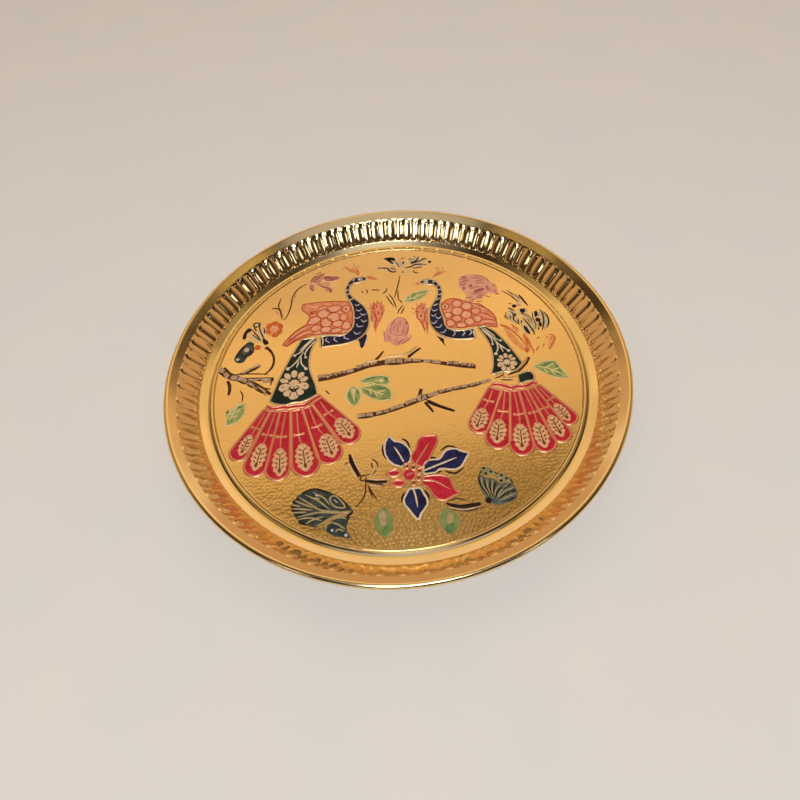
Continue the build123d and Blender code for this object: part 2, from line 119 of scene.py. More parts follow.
# Chased brass: a ground beaten with punches, bright on the lands and browned in the hollows
chasedLook = {"land": "#F7D49B", "hollow": "#E2BC7C", "lowMm": 0.88, "highMm": 0.95,
              "grainMm": 1.6, "detail": 3.0, "bump": 0.12, "bumpMm": 0.03, "roughness": 0.19}


def chasedBrass(name, look):
    material, tree, shader, place = newMaterial(name)
    height = addNode(tree, "ShaderNodeSeparateXYZ", inputs={0: place}).outputs["Z"]
    level = addNode(tree, "ShaderNodeMapRange", inputs={
        "Value": height, "From Min": look["lowMm"], "From Max": look["highMm"]})
    grain = addNode(tree, "ShaderNodeTexNoise", inputs={
        "Vector": place, "Scale": 1 / look["grainMm"], "Detail": look["detail"]})
    colour = mixColours(tree, level.outputs["Result"], look["hollow"], look["land"])
    tree.links.new(colour, shader.inputs["Base Color"])
    bump = addNode(tree, "ShaderNodeBump", inputs={
        "Height": grain.outputs["Fac"], "Strength": look["bump"], "Distance": look["bumpMm"] * mm})
    tree.links.new(bump.outputs["Normal"], shader.inputs["Normal"])
    shader.inputs["Metallic"].default_value = 1.0
    shader.inputs["Roughness"].default_value = look["roughness"]
    return material


# Fired enamel: coloured glass under its own gloss, mottled where the powder lay thin
glaze = {"mottleMm": 4, "detail": 5.0, "grain": 0.6, "deepTo": 0.35, "thinFrom": 0.68,
         "bump": 0.12, "bumpMm": 0.05, "roughness": 0.42, "specular": 0.16, "coat": 0.05,
         "coatRoughness": 0.15}


def firedEnamel(name, look):
    material, tree, shader, place = newMaterial(name)
    mottle = addNode(tree, "ShaderNodeTexNoise", inputs={
        "Vector": place, "Scale": 1 / look.get("mottleMm", glaze["mottleMm"]),
        "Detail": glaze["detail"], "Roughness": glaze["grain"]})
    spread = addNode(tree, "ShaderNodeMapRange", inputs={
        "Value": mottle.outputs["Fac"], "From Min": glaze["deepTo"], "From Max": glaze["thinFrom"]})
    colour = mixColours(tree, spread.outputs["Result"], look["deep"], look["thin"])
    tree.links.new(colour, shader.inputs["Base Color"])
    bump = addNode(tree, "ShaderNodeBump", inputs={
        "Height": mottle.outputs["Fac"], "Strength": glaze["bump"], "Distance": glaze["bumpMm"] * mm})
    tree.links.new(bump.outputs["Normal"], shader.inputs["Normal"])
    shader.inputs["Metallic"].default_value = look.get("metallic", 0.0)
    shader.inputs["Roughness"].default_value = glaze["roughness"]
    shader.inputs["Specular IOR Level"].default_value = glaze["specular"]
    shader.inputs["Coat Weight"].default_value = glaze["coat"]
    shader.inputs["Coat Roughness"].default_value = glaze["coatRoughness"]
    return material


enamelLooks = {
    "crimsonEnamel": {"deep": "#BC1C2E", "thin": "#D83246"},
    "coralEnamel": {"deep": "#EA7E50", "thin": "#F6A074"},
    "navyEnamel": {"deep": "#17173C", "thin": "#2A3266"},
    "mossEnamel": {"deep": "#728C4C", "thin": "#969E60"},
    "inkNavyEnamel": {"deep": "#131124", "thin": "#282748"},
    "greenBlackEnamel": {"deep": "#0E1A17", "thin": "#1A3A32"},
    "brownEnamel": {"deep": "#452312", "thin": "#643A20", "mottleMm": 3},
    "tanEnamel": {"deep": "#A88260", "thin": "#DCBC98", "mottleMm": 2},
    "leafGreenEnamel": {"deep": "#7E9A50", "thin": "#BEB86C"},
    "blushEnamel": {"deep": "#EEA492", "thin": "#F4BE9C", "metallic": 0.4, "mottleMm": 5},
    "greyEnamel": {"deep": "#26302E", "thin": "#505A54", "mottleMm": 3},
    "smokyEnamel": {"deep": "#4A524C", "thin": "#747A6C", "mottleMm": 3},
    "orangeEnamel": {"deep": "#EE9650", "thin": "#F8B476"},
    "blackEnamel": {"deep": "#170C08", "thin": "#301C14", "mottleMm": 2},
    "barkEnamel": {"deep": "#452312", "thin": "#6A3A1E", "mottleMm": 2},
    "umberEnamel": {"deep": "#6E3414", "thin": "#964E22", "mottleMm": 2},
    "creamEnamel": {"deep": "#EACEA6", "thin": "#F8E8CC", "mottleMm": 2},
    "paleBlueEnamel": {"deep": "#BCB8D0", "thin": "#E0DCE8", "mottleMm": 2},
    "lightCoralEnamel": {"deep": "#F8A478", "thin": "#FFC49E", "mottleMm": 3},
    "softCoralEnamel": {"deep": "#E47A50", "thin": "#F09A68", "metallic": 0.3, "mottleMm": 2},
    "darkRedEnamel": {"deep": "#B4442A", "thin": "#CC5634", "mottleMm": 2},
    "peachEnamel": {"deep": "#E4AA7A", "thin": "#F4C89A", "mottleMm": 2},
    "sandEnamel": {"deep": "#E2BC8A", "thin": "#F6DCB4", "mottleMm": 2},
    "rosewoodEnamel": {"deep": "#C87C6C", "thin": "#DE9A84", "mottleMm": 2},
    "brickEnamel": {"deep": "#B4442A", "thin": "#CE603A", "mottleMm": 3},
    "oliveEnamel": {"deep": "#86825A", "thin": "#AEA474", "mottleMm": 3},
    "greyCreamEnamel": {"deep": "#D2C4A4", "thin": "#EADEC4", "mottleMm": 2},
    "pinkWashEnamel": {"deep": "#EEA494", "thin": "#F6C4A4", "metallic": 0.5, "mottleMm": 3},
    "greyWashEnamel": {"deep": "#D2C29C", "thin": "#F0D8A8", "metallic": 0.6, "mottleMm": 3},
    "rosePinkEnamel": {"deep": "#D06A72", "thin": "#E48E8A", "mottleMm": 2},
    "plumEnamel": {"deep": "#A8525E", "thin": "#C47872", "mottleMm": 2},
    "lilacEnamel": {"deep": "#D2AE9C", "thin": "#EACDB6", "mottleMm": 2},
    "burntOrangeEnamel": {"deep": "#D4581F", "thin": "#EA7C3E", "mottleMm": 2},
    "paleOliveEnamel": {"deep": "#E2D08E", "thin": "#F0E0A6", "mottleMm": 2},
    "darkGreenEnamel": {"deep": "#5A7C48", "thin": "#7C9A5A", "mottleMm": 2},
    "paleTealEnamel": {"deep": "#A89868", "thin": "#C8B07E", "mottleMm": 2},
}
materials = {name: firedEnamel(name, look) for name, look in enamelLooks.items()}
materials["polishedBrass"] = polishedBrass("polishedBrass", brassLook)
materials["chasedBrass"] = chasedBrass("chasedBrass", chasedLook)
# raised lines of the same sheet, rubbed bright: pale where they stand alone, coppery between red cells;
# and washBrass, the sheet left bare inside a cell and flushed with a trace of colour
lineLooks = {
    "raisedBrass": {"bright": "#F4E2C4", "cloudy": "#E4CC9E", "cloudMm": 8, "roughness": (0.28, 0.38)},
    "creamBrass": {"bright": "#E8CCA8", "cloudy": "#D4B48A", "cloudMm": 4, "roughness": (0.30, 0.42)},
    "copperyBrass": {"bright": "#FAB89C", "cloudy": "#EEA284", "cloudMm": 8, "roughness": (0.28, 0.38)},
    "washBrass": {"bright": "#F6D4A4", "cloudy": "#EFC89A", "cloudMm": 5, "roughness": (0.20, 0.28)},
}
for name, look in lineLooks.items():
    materials[name] = polishedBrass(name, look)
print("materials made,", len(materials))

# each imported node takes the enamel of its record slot
slotEnamel = {
    "coral_enamel": "coralEnamel", "navy_enamel": "navyEnamel", "green_black_enamel": "greenBlackEnamel",
    "crimson_enamel": "crimsonEnamel", "brown_enamel": "brownEnamel", "leaf_green_enamel": "leafGreenEnamel",
    "pink_enamel": "pinkWashEnamel", "mauve_enamel": "washBrass", "grey_enamel": "greyEnamel",
    "orange_enamel": "orangeEnamel", "polished_brass": "polishedBrass",
}
# nodes unlike the rest of their slot: darker birds and bark, and washes that let the metal show
nodeEnamel = {
    "upper_branch_enamel": "barkEnamel", "lower_branch_enamel": "barkEnamel",
    "left_branch_enamel": "barkEnamel",
    "left_green_bud_enamel": "mossEnamel", "right_green_bud_enamel": "mossEnamel",
    "left_peacock_body_enamel": "inkNavyEnamel", "right_peacock_body_enamel": "inkNavyEnamel",
    "left_peacock_thigh_enamel": "inkNavyEnamel", "right_peacock_thigh_enamel": "inkNavyEnamel",
    "grey_lotus_petals_enamel": "greyWashEnamel",
    "bottom_lotus_petals_enamel": "smokyEnamel", "top_lotus_petals_enamel": "sandEnamel",
    "blue_blossom_petals_enamel": "washBrass",
}
for subpart in frame["record"]["subparts"]:
    node = frame["nodes"][subpart["node"]]
    node.data.materials.clear()
    look = nodeEnamel.get(subpart["node"], slotEnamel[subpart["material_slot"]])
    node.data.materials.append(materials[look])
print("enamel nodes finished")


# a mesh object from points in millimetres, riding the plate
def addPiece(name, points, faces, material, smooth=True):
    mesh = bpy.data.meshes.new(name)
    mesh.from_pydata([tuple(c * mm for c in p) for p in points], [], faces)
    mesh.polygons.foreach_set("use_smooth", [smooth] * len(mesh.polygons))
    mesh.materials.append(materials[material])
    piece = bpy.data.objects.new(name, mesh)
    bpy.context.scene.collection.objects.link(piece)
    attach(piece, "root")
    return piece


# The dish shell: one spun sheet, drawn as rows of its section turned round the middle
dish = {"outer": 125.0, "height": 15.4, "sheet": 1.0, "foot": 106.2, "coveRadius": 1.2, "coveSlope": 21.0,
        "lowerPanel": 3.335, "upperPanel": 4.4, "rimSlope": 30.0, "beadRadius": 1.6, "beadEnd": 40.0,
        "baseInset": 8.0, "flutes": 70, "broad": 0.6, "ridge": 0.85, "finger": 0.5, "fluteEnd": 3.2}
# the seat of the chased ground, and the raised ring round it that falls gently, then steeply, to the cove
seat = {"radius": 102.6, "height": 0.5, "rim": 1.5, "lip": 0.92, "ringGap": 0.2, "ringRise": 0.4,
        "ringCrest": 0.15, "ringDrop": 0.2, "ringOuter": 105.3, "trough": 0.25, "troughDepth": 0.9,
        "fall": ((0.08, 0.02), (0.5, 0.18), (0.6, 0.26), (0.94, 0.95), (1.0, 1.0))}
# how many rows, or where along a panel: close to each bend, so that the panels stay flat between them
section = {"columnsPerFlute": 15, "ring": 4, "cove": 6, "panel": (0.9, 0.5, 0.06), "fluteEnd": 10,
           "fluteMiddle": 8, "band": (0.05, 0.5, 0.93), "bead": 18, "back": 13, "backCove": 5}


# a place some way along a slope, and behind its face
def along(place, degrees, run, behind=0.0):
    turn = math.radians(degrees)
    return np.array((place[0] + run * math.cos(turn) + behind * math.sin(turn),
                     place[1] + run * math.sin(turn) - behind * math.cos(turn)))


def makeDish(d, s, rowsOf):
    coveCentre = np.array((d["foot"], d["sheet"] + d["coveRadius"]))
    beadCentre = np.array((d["outer"] - d["beadRadius"], d["height"] - d["beadRadius"]))
    coveTop = along(coveCentre, d["coveSlope"], 0, d["coveRadius"])
    fluteFoot = along(coveTop, d["coveSlope"], d["lowerPanel"])
    rim = along(beadCentre, d["rimSlope"], 0, -d["beadRadius"])
    fluteHead = along(rim, d["rimSlope"], -d["upperPanel"])
    fluteSlope = math.degrees(math.atan2(fluteHead[1] - fluteFoot[1], fluteHead[0] - fluteFoot[0]))
    fluteLength = math.hypot(*(fluteHead - fluteFoot))
    rows = []  # radius, height, slope of the face, share of the flute depth, way along the flute

    def addRow(place, slope=0, depth=0.0, way=0.0):
        rows.append((place[0], place[1], slope, depth, way))

    addRow((0.0, s["height"]))
    addRow((s["radius"] - s["rim"], s["height"]))
    addRow((s["radius"], s["height"]))
    addRow((s["radius"], d["sheet"] * s["lip"]))
    for share in np.linspace(0, 1, rowsOf["ring"]):
        addRow((s["radius"] + s["ringGap"] + s["ringRise"] * share,
                d["sheet"] + s["ringCrest"] * math.sin(share * math.pi / 2)))
    ringTop = s["radius"] + s["ringGap"] + s["ringRise"]
    for share, fall in s["fall"]:
        addRow((ringTop + share * (s["ringOuter"] - ringTop),
                d["sheet"] + s["ringCrest"] - fall * (s["ringCrest"] + s["ringDrop"])))
    addRow((s["ringOuter"] + s["trough"], d["sheet"] - s["troughDepth"] * s["ringDrop"]))
    for degrees in np.linspace(0, d["coveSlope"], rowsOf["cove"])[1:]:
        addRow(along(coveCentre, degrees, 0, d["coveRadius"]), degrees)
    for share in rowsOf["panel"]:
        addRow(along(fluteFoot, d["coveSlope"], -share * d["lowerPanel"]), d["coveSlope"])
    endWays = np.linspace(0, d["fluteEnd"], rowsOf["fluteEnd"])
    middleWays = np.linspace(d["fluteEnd"], fluteLength - d["fluteEnd"], rowsOf["fluteMiddle"])[1:-1]
    for way in (*endWays, *middleWays, *(fluteLength - endWays[::-1])):
        addRow(along(fluteFoot, fluteSlope, way), fluteSlope, 1.0, way)
    for share in rowsOf["band"]:
        addRow(along(fluteHead, d["rimSlope"], share * d["upperPanel"]), d["rimSlope"])
    for degrees in np.linspace(d["rimSlope"] + 180, d["rimSlope"] - d["beadEnd"], rowsOf["bead"]):
        turn = math.radians(degrees - 90)
        addRow(beadCentre + d["beadRadius"] * np.array((math.cos(turn), math.sin(turn))))
    back = d["sheet"]
    addRow(along(rim, d["rimSlope"], -d["upperPanel"] / 2, back), d["rimSlope"])
    for way in np.linspace(fluteLength, 0, rowsOf["back"]):
        addRow(along(fluteFoot, fluteSlope, way, back), fluteSlope, 1.0, way)
    for degrees in np.linspace(d["coveSlope"], 0, rowsOf["backCove"]):
        addRow(along(coveCentre, degrees, 0, d["coveRadius"] + back), degrees)
    addRow((d["foot"] - d["baseInset"], 0.0))
    addRow((0.0, 0.0))

    columns = d["flutes"] * rowsOf["columnsPerFlute"]
    turns = np.arange(columns) * 2 * math.pi / columns
    points = []
    rowStart = []
    for radius, height, slope, depth, way in rows:
        rowStart.append(len(points))
        if radius == 0.0:
            points.append((0.0, 0.0, height))
            continue
        phase = (turns * d["flutes"] / (2 * math.pi)) % 1.0
        aside = np.minimum(phase, 1 - phase) * 2
        isRidge = aside < d["broad"]
        across = np.where(isRidge, aside / d["broad"], (1 - aside) / (1 - d["broad"]))
        lengthwise = abs(2 * way / fluteLength - 1)
        swell = np.sqrt(np.clip(1 - across ** 2 - lengthwise ** 3, 0, None))
        push = depth * swell * np.where(isRidge, d["ridge"], d["finger"])
        tilt = math.radians(slope)
        r = radius - push * math.sin(tilt)
        z = height + push * math.cos(tilt)
        points += list(zip(r * np.cos(turns), r * np.sin(turns), z))
    faces = []
    for row in range(len(rows) - 1):
        a, b = rowStart[row], rowStart[row + 1]
        for c in range(columns):
            n = (c + 1) % columns
            if rows[row][0] == 0.0:
                faces.append((a, b + c, b + n))
            elif rows[row + 1][0] == 0.0:
                faces.append((a + c, b, a + n))
            else:
                faces.append((a + c, b + c, b + n, a + n))
    return addPiece("dishShell", points, faces, "polishedBrass")


dishShell = makeDish(dish, seat, section)
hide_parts("thali_body")
print("dish shell turned,", len(dishShell.data.polygons), "faces")

# The chased ground: pebbles and rosettes beaten into the floor round the enamel
ground = {"radius": seat["radius"], "top": 0.95, "cells": 420, "fineBelow": -33.0, "depth": 0.085,
          "edgeFade": 1.5, "worn": 0.25, "chasedFrom": -35, "chasedOver": 40, "seed": 7}
# its punch marks, a little coarser than the real ones so that the mesh can hold them
rosetteMark = {"pitch": 10.5, "jitter": 1.6, "boss": 0.75, "hoop": 2.0, "hoopWide": 0.5, "petals": 9,
               "edge": 2.7}
beadMark = {"pitch": 2.4, "jitter": 0.8, "half": 0.62, "oval": 0.18}


# the nearest point of a jittered hexagon grid: how far, and in which direction
def nearestMark(x, y, pitch, jitter, rng):
    reach = int(ground["radius"] / pitch) + 3
    size = 2 * reach + 1
    shift = rng.uniform(-jitter, jitter, (size, size, 2))
    rowPitch = pitch * math.sqrt(3) / 2
    row = np.round(y / rowPitch).astype(int)
    near = np.full(x.shape, 1e9)
    angle = np.zeros(x.shape)
    for down in (-1, 0, 1):
        j = row + down
        column = np.round(x / pitch - 0.5 * (j % 2)).astype(int)
        for over in (-1, 0, 1):
            i = column + over
            move = shift[np.clip(j + reach, 0, size - 1), np.clip(i + reach, 0, size - 1)]
            dx = x - (i + 0.5 * (j % 2)) * pitch - move[..., 0]
            dy = y - j * rowPitch - move[..., 1]
            closer = np.hypot(dx, dy) < near
            near = np.where(closer, np.hypot(dx, dy), near)
            angle = np.where(closer, np.arctan2(dy, dx), angle)
    return near, angle


# beads and rosettes, from 0 in the hollows to 1 on the lands
def groundHeights(x, y, rosette, bead, rng):
    rose, angle = nearestMark(x, y, rosette["pitch"], rosette["jitter"], rng)
    near, turn = nearestMark(x, y, bead["pitch"], bead["jitter"], rng)
    boss = np.exp(-(rose / rosette["boss"]) ** 2)
    hoop = 0.9 * np.exp(-((rose - rosette["hoop"]) / rosette["hoopWide"]) ** 2)
    hoop *= 0.75 + 0.25 * np.cos(rosette["petals"] * angle)
    beads = np.exp(-(near / (bead["half"] + bead["oval"] * np.cos(2 * turn))) ** 2)
    outside = np.clip((rose - rosette["edge"]) / rosette["hoopWide"], 0, 1)
    return np.clip(boss + hoop + outside * 0.85 * beads, 0, 1)


def makeGround(g):
    n = g["cells"] + 1
    a, b = np.meshgrid(np.linspace(-1, 1, n), np.linspace(-1, 1, n))
    wide = np.abs(a) > np.abs(b)
    safeA = np.where(a == 0, 1, a)
    safeB = np.where(b == 0, 1, b)
    radius = np.where(wide, a, b)
    turn = np.where(wide, math.pi / 4 * b / safeA, math.pi / 2 - math.pi / 4 * a / safeB)
    x = g["radius"] * radius * np.cos(turn)
    y = g["radius"] * radius * np.sin(turn)
    fade = np.clip((g["radius"] - np.hypot(x, y)) / g["edgeFade"], 0, 1)
    chased = np.clip((g["chasedFrom"] - y) / g["chasedOver"], 0, 1)  # worn smooth but for the front
    fade *= g["worn"] + (1 - g["worn"]) * chased
    heights = groundHeights(x, y, rosetteMark, beadMark, np.random.default_rng(g["seed"]))
    z = g["top"] - g["depth"] * (1 - heights) * fade
    points = list(zip(x.ravel(), y.ravel(), z.ravel()))
    # four small cells to a block at the front; one large cell elsewhere, with its finer neighbours' points
    fine = np.pad(y[1::2, 1::2] < g["fineBelow"], 1, constant_values=True)
    faces = []
    for row in range(g["cells"] // 2):
        for column in range(g["cells"] // 2):
            k = 2 * row * n + 2 * column
            if fine[row + 1, column + 1]:
                faces += [(c, c + 1, c + n + 1, c + n) for c in (k, k + 1, k + n, k + n + 1)]
                continue
            loop = [(k, True), (k + 1, fine[row, column + 1]),
                    (k + 2, True), (k + n + 2, fine[row + 1, column + 2]),
                    (k + 2 * n + 2, True), (k + 2 * n + 1, fine[row + 2, column + 1]),
                    (k + 2 * n, True), (k + n, fine[row + 1, column])]
            faces.append(tuple(corner for corner, kept in loop if kept))
    edge = [*range(n), *range(2 * n - 1, n * n, n),
            *range(n * n - 2, n * n - n - 1, -1), *range(n * n - 2 * n, 0, -n)]
    base = len(points)
    points += [(x.flat[k], y.flat[k], seat["height"]) for k in edge]
    for i in range(len(edge)):
        j = (i + 1) % len(edge)
        faces.append((edge[j], edge[i], base + i, base + j))
    faces.append(tuple(range(base + len(edge) - 1, base - 1, -1)))
    used = sorted({corner for face in faces for corner in face})
    order = {corner: i for i, corner in enumerate(used)}
    faces = [tuple(order[corner] for corner in face) for face in faces]
    points = [points[corner] for corner in used]
    return addPiece("chasedGround", points, faces, "chasedBrass")


chasedGround = makeGround(ground)
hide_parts("thali_body")
print("ground chased,", len(chasedGround.data.polygons), "faces")

# Drawing on the floor: raised half-round lines, flat-topped fills and round dots, all closed solids
levels = {"base": 0.86, "step": 0.8, "shoulder": 0.04, "crown": 0.86}
lineSection = ((1.0, 0.0), (0.84, 0.92), (0.0, 1.0), (-0.84, 0.92), (-1.0, 0.0))  # across and up


# an empty drawing, and the piece that it becomes
def newInk():
    return {"points": [], "faces": []}


def finishInk(name, ink, material):
    return addPiece(name, ink["points"], ink["faces"], material)


# a smooth line through given points
def smoothLine(points, closed=False, step=levels["step"]):
    p = np.array(points, float)
    if len(p) < 3:
        ends = p
        count = max(2, int(math.hypot(*(ends[1] - ends[0])[:2]) / step) + 1)
        return ends[0] + np.linspace(0, 1, count)[:, None] * (ends[1] - ends[0])
    if closed:
        p = np.vstack((p[-1], p, p[0], p[1]))
    else:
        p = np.vstack((2 * p[0] - p[1], p, 2 * p[-1] - p[-2]))
    path = []
    for a, b, c, d in zip(p, p[1:], p[2:], p[3:]):
        count = max(2, int(math.hypot(*(c - b)[:2]) / step) + 1)
        for t in np.arange(count) / count:
            path.append(0.5 * (2 * b + (c - a) * t + (2 * a - 5 * b + 4 * c - d) * t ** 2
                               + (3 * b - a - 3 * c + d) * t ** 3))
    if not closed:
        path.append(p[-2])
    return np.array(path)


# the sideways direction, left of travel, at each point of a path
def sideways(path, closed):
    if closed:
        run = np.roll(path, -1, 0) - np.roll(path, 1, 0)
    else:
        run = np.gradient(path, axis=0)
    run = run / np.maximum(np.hypot(run[:, 0], run[:, 1]), 1e-9)[:, None]
    return np.column_stack((-run[:, 1], run[:, 0]))


# a half-round line along a path; taper gives the share of the width left at its two ends
def addLine(ink, points, width, top, taper=(1.0, 1.0), closed=False, smooth=True):
    path = smoothLine(points, closed) if smooth else np.array(points, float)
    path = path[:, :2]
    side = sideways(path, closed)
    count = len(path)
    share = np.linspace(0, 1, count)
    half = width / 2 * np.minimum(1, np.minimum(taper[0] + share * 4 * (1 - taper[0]),
                                                taper[1] + (1 - share) * 4 * (1 - taper[1])))
    start = len(ink["points"])
    rise = top - levels["base"]
    for place, away, h in zip(path, side, half):
        for across, up in lineSection:
            x, y = place + across * h * away
            ink["points"].append((x, y, levels["base"] + up * rise))
    sides = len(lineSection)
    for i in range(count if closed else count - 1):
        a = start + sides * i
        b = start + sides * ((i + 1) % count)
        for k in range(sides):
            n = (k + 1) % sides
            ink["faces"].append((a + k, a + n, b + n, b + k))
    if not closed:
        ink["faces"].append(tuple(start + k for k in reversed(range(sides))))
        ink["faces"].append(tuple(start + sides * (count - 1) + k for k in range(sides)))


# a low domed plate inside a smooth closed outline
def addFill(ink, outline, top):
    path = smoothLine(outline, True)[:, :2]
    turn = np.sum(path[:, 0] * np.roll(path[:, 1], -1) - path[:, 1] * np.roll(path[:, 0], -1))
    if turn < 0:
        path = path[::-1]
    count = len(path)
    middle = path.mean(0)
    start = len(ink["points"])
    for scale, z in ((1.0, levels["base"]), (1.0, top - levels["shoulder"]), (levels["crown"], top)):
        for place in path:
            x, y = middle + scale * (place - middle)
            ink["points"].append((x, y, z))
    ink["points"] += [(*middle, top), (*middle, levels["base"])]
    crown, under = start + 3 * count, start + 3 * count + 1
    for i in range(count):
        n = (i + 1) % count
        for ring in (0, 1):
            a = start + ring * count
            ink["faces"].append((a + i, a + n, a + count + n, a + count + i))
        ink["faces"].append((start + 2 * count + i, start + 2 * count + n, crown))
        ink["faces"].append((start + n, start + i, under))


# an oval outline: centre, half length, half width and the turn of its long side
def oval(x, y, long, wide, degrees=0.0, count=12):
    turn = math.radians(degrees)
    around = [2 * math.pi * k / count for k in range(count)]
    return [(x + long * math.cos(t) * math.cos(turn) - wide * math.sin(t) * math.sin(turn),
             y + long * math.cos(t) * math.sin(turn) + wide * math.sin(t) * math.cos(turn)) for t in around]


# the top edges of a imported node, as closed loops in millimetres, run with the node on their left
def topLoops(nodeName):
    shape = bmesh.new()
    shape.from_mesh(frame["nodes"][nodeName].data)
    bmesh.ops.remove_doubles(shape, verts=shape.verts, dist=0.001 * mm)
    top = max(v.co.z for v in shape.verts)
    faces = {f for f in shape.faces if all(v.co.z > top - 0.02 * mm for v in f.verts)}
    follow = {}
    for face in faces:
        for corner in face.loops:
            if corner.link_loop_radial_next.face not in faces:
                follow[corner.vert] = corner.link_loop_next.vert
    loops = []
    while follow:
        first, at = follow.popitem()
        loop = [first]
        while at is not first and at in follow:
            loop.append(at)
            at = follow.pop(at)
        loops.append([(v.co.x / mm, v.co.y / mm) for v in loop])
    shape.free()
    return loops


# a loop with points at even steps, moved outwards
def evenLoop(loop, outwards=0.0, step=levels["step"]):
    ring = np.array(loop + loop[:1])
    run = np.concatenate(([0], np.cumsum(np.hypot(*np.diff(ring, axis=0).T))))
    marks = np.linspace(0, run[-1], max(8, int(run[-1] / step)), endpoint=False)
    path = np.column_stack((np.interp(marks, run, ring[:, 0]), np.interp(marks, run, ring[:, 1])))
    return path - outwards * sideways(path, True)


# one piece of drawing from its dictionary
def drawPiece(name, art):
    ink = newInk()
    top = art["top"]
    for node in art.get("edgesOf", []):
        for loop in topLoops(node):
            path = evenLoop(loop, art.get("outwards", 0.0))
            addLine(ink, path, art["width"], top, closed=True, smooth=False)
    for outline in art.get("fills", []):
        addFill(ink, outline, top)
    for x, y, r in art.get("dots", []):
        addFill(ink, oval(x, y, r, r), top)
    for outline in art.get("rings", []):
        addLine(ink, outline, art["width"], top, closed=True)
    for points in art.get("lines", []):
        addLine(ink, points, art["width"], top, art.get("taper", (0.45, 0.45)))
    return finishInk(name, ink, art["material"])


# Wing scales, as x, y, half length, half width and turn: the first ones have an outline
wing = {"swell": 1.14, "outlined": 12}
leftScales = (
    (-34.0, 55.6, 4.2, 2.3, 8), (-40.2, 52.4, 3.7, 3.0, 30), (-34.2, 48.6, 3.5, 3.2, 0),
    (-46.0, 47.4, 3.8, 2.5, 25), (-38.8, 44.8, 3.1, 2.9, 0), (-31.8, 43.0, 3.0, 2.2, 0),
    (-26.8, 41.0, 2.4, 2.7, 0), (-44.8, 41.0, 2.8, 2.1, 15), (-38.8, 39.2, 3.1, 1.9, 0),
    (-33.0, 37.8, 3.2, 1.5, 0), (-26.4, 54.4, 2.1, 2.3, 0), (-28.2, 47.8, 1.9, 2.6, 0),
    (-27.6, 36.4, 1.8, 1.0, 0), (-30.4, 51.4, 1.1, 1.5, 30), (-44.0, 37.4, 1.6, 1.0, 20),
    (-47.4, 51.4, 2.2, 0.8, 10), (-42.0, 57.0, 3.0, 0.9, 12))
rightScales = (
    (33.3, 48.5, 2.0, 2.0, 0), (40.6, 50.0, 2.6, 2.8, 0), (46.2, 47.2, 2.8, 2.8, 0),
    (40.0, 43.8, 3.1, 2.9, 0), (34.2, 41.4, 2.2, 2.0, 0), (45.0, 40.4, 2.8, 2.8, 0),
    (51.0, 42.6, 2.4, 2.2, 0), (39.0, 38.0, 2.6, 2.3, 0), (35.0, 35.0, 2.4, 2.4, 0),
    (46.2, 34.8, 2.6, 2.4, 0), (51.0, 36.4, 2.2, 2.2, 0), (41.2, 32.8, 2.8, 1.8, 0),
    (35.0, 45.6, 1.6, 1.6, 0), (36.6, 30.8, 2.2, 1.0, 0), (51.6, 47.8, 1.8, 1.0, -20))


def scaleFills(scales):
    return [oval(x, y, wing["swell"] * long, wing["swell"] * wide, turn)
            for x, y, long, wide, turn in scales]


def scaleRings(scales, margin):
    return [oval(x, y, long + margin, wide + margin, turn)
            for x, y, long, wide, turn in scales[:wing["outlined"]]]


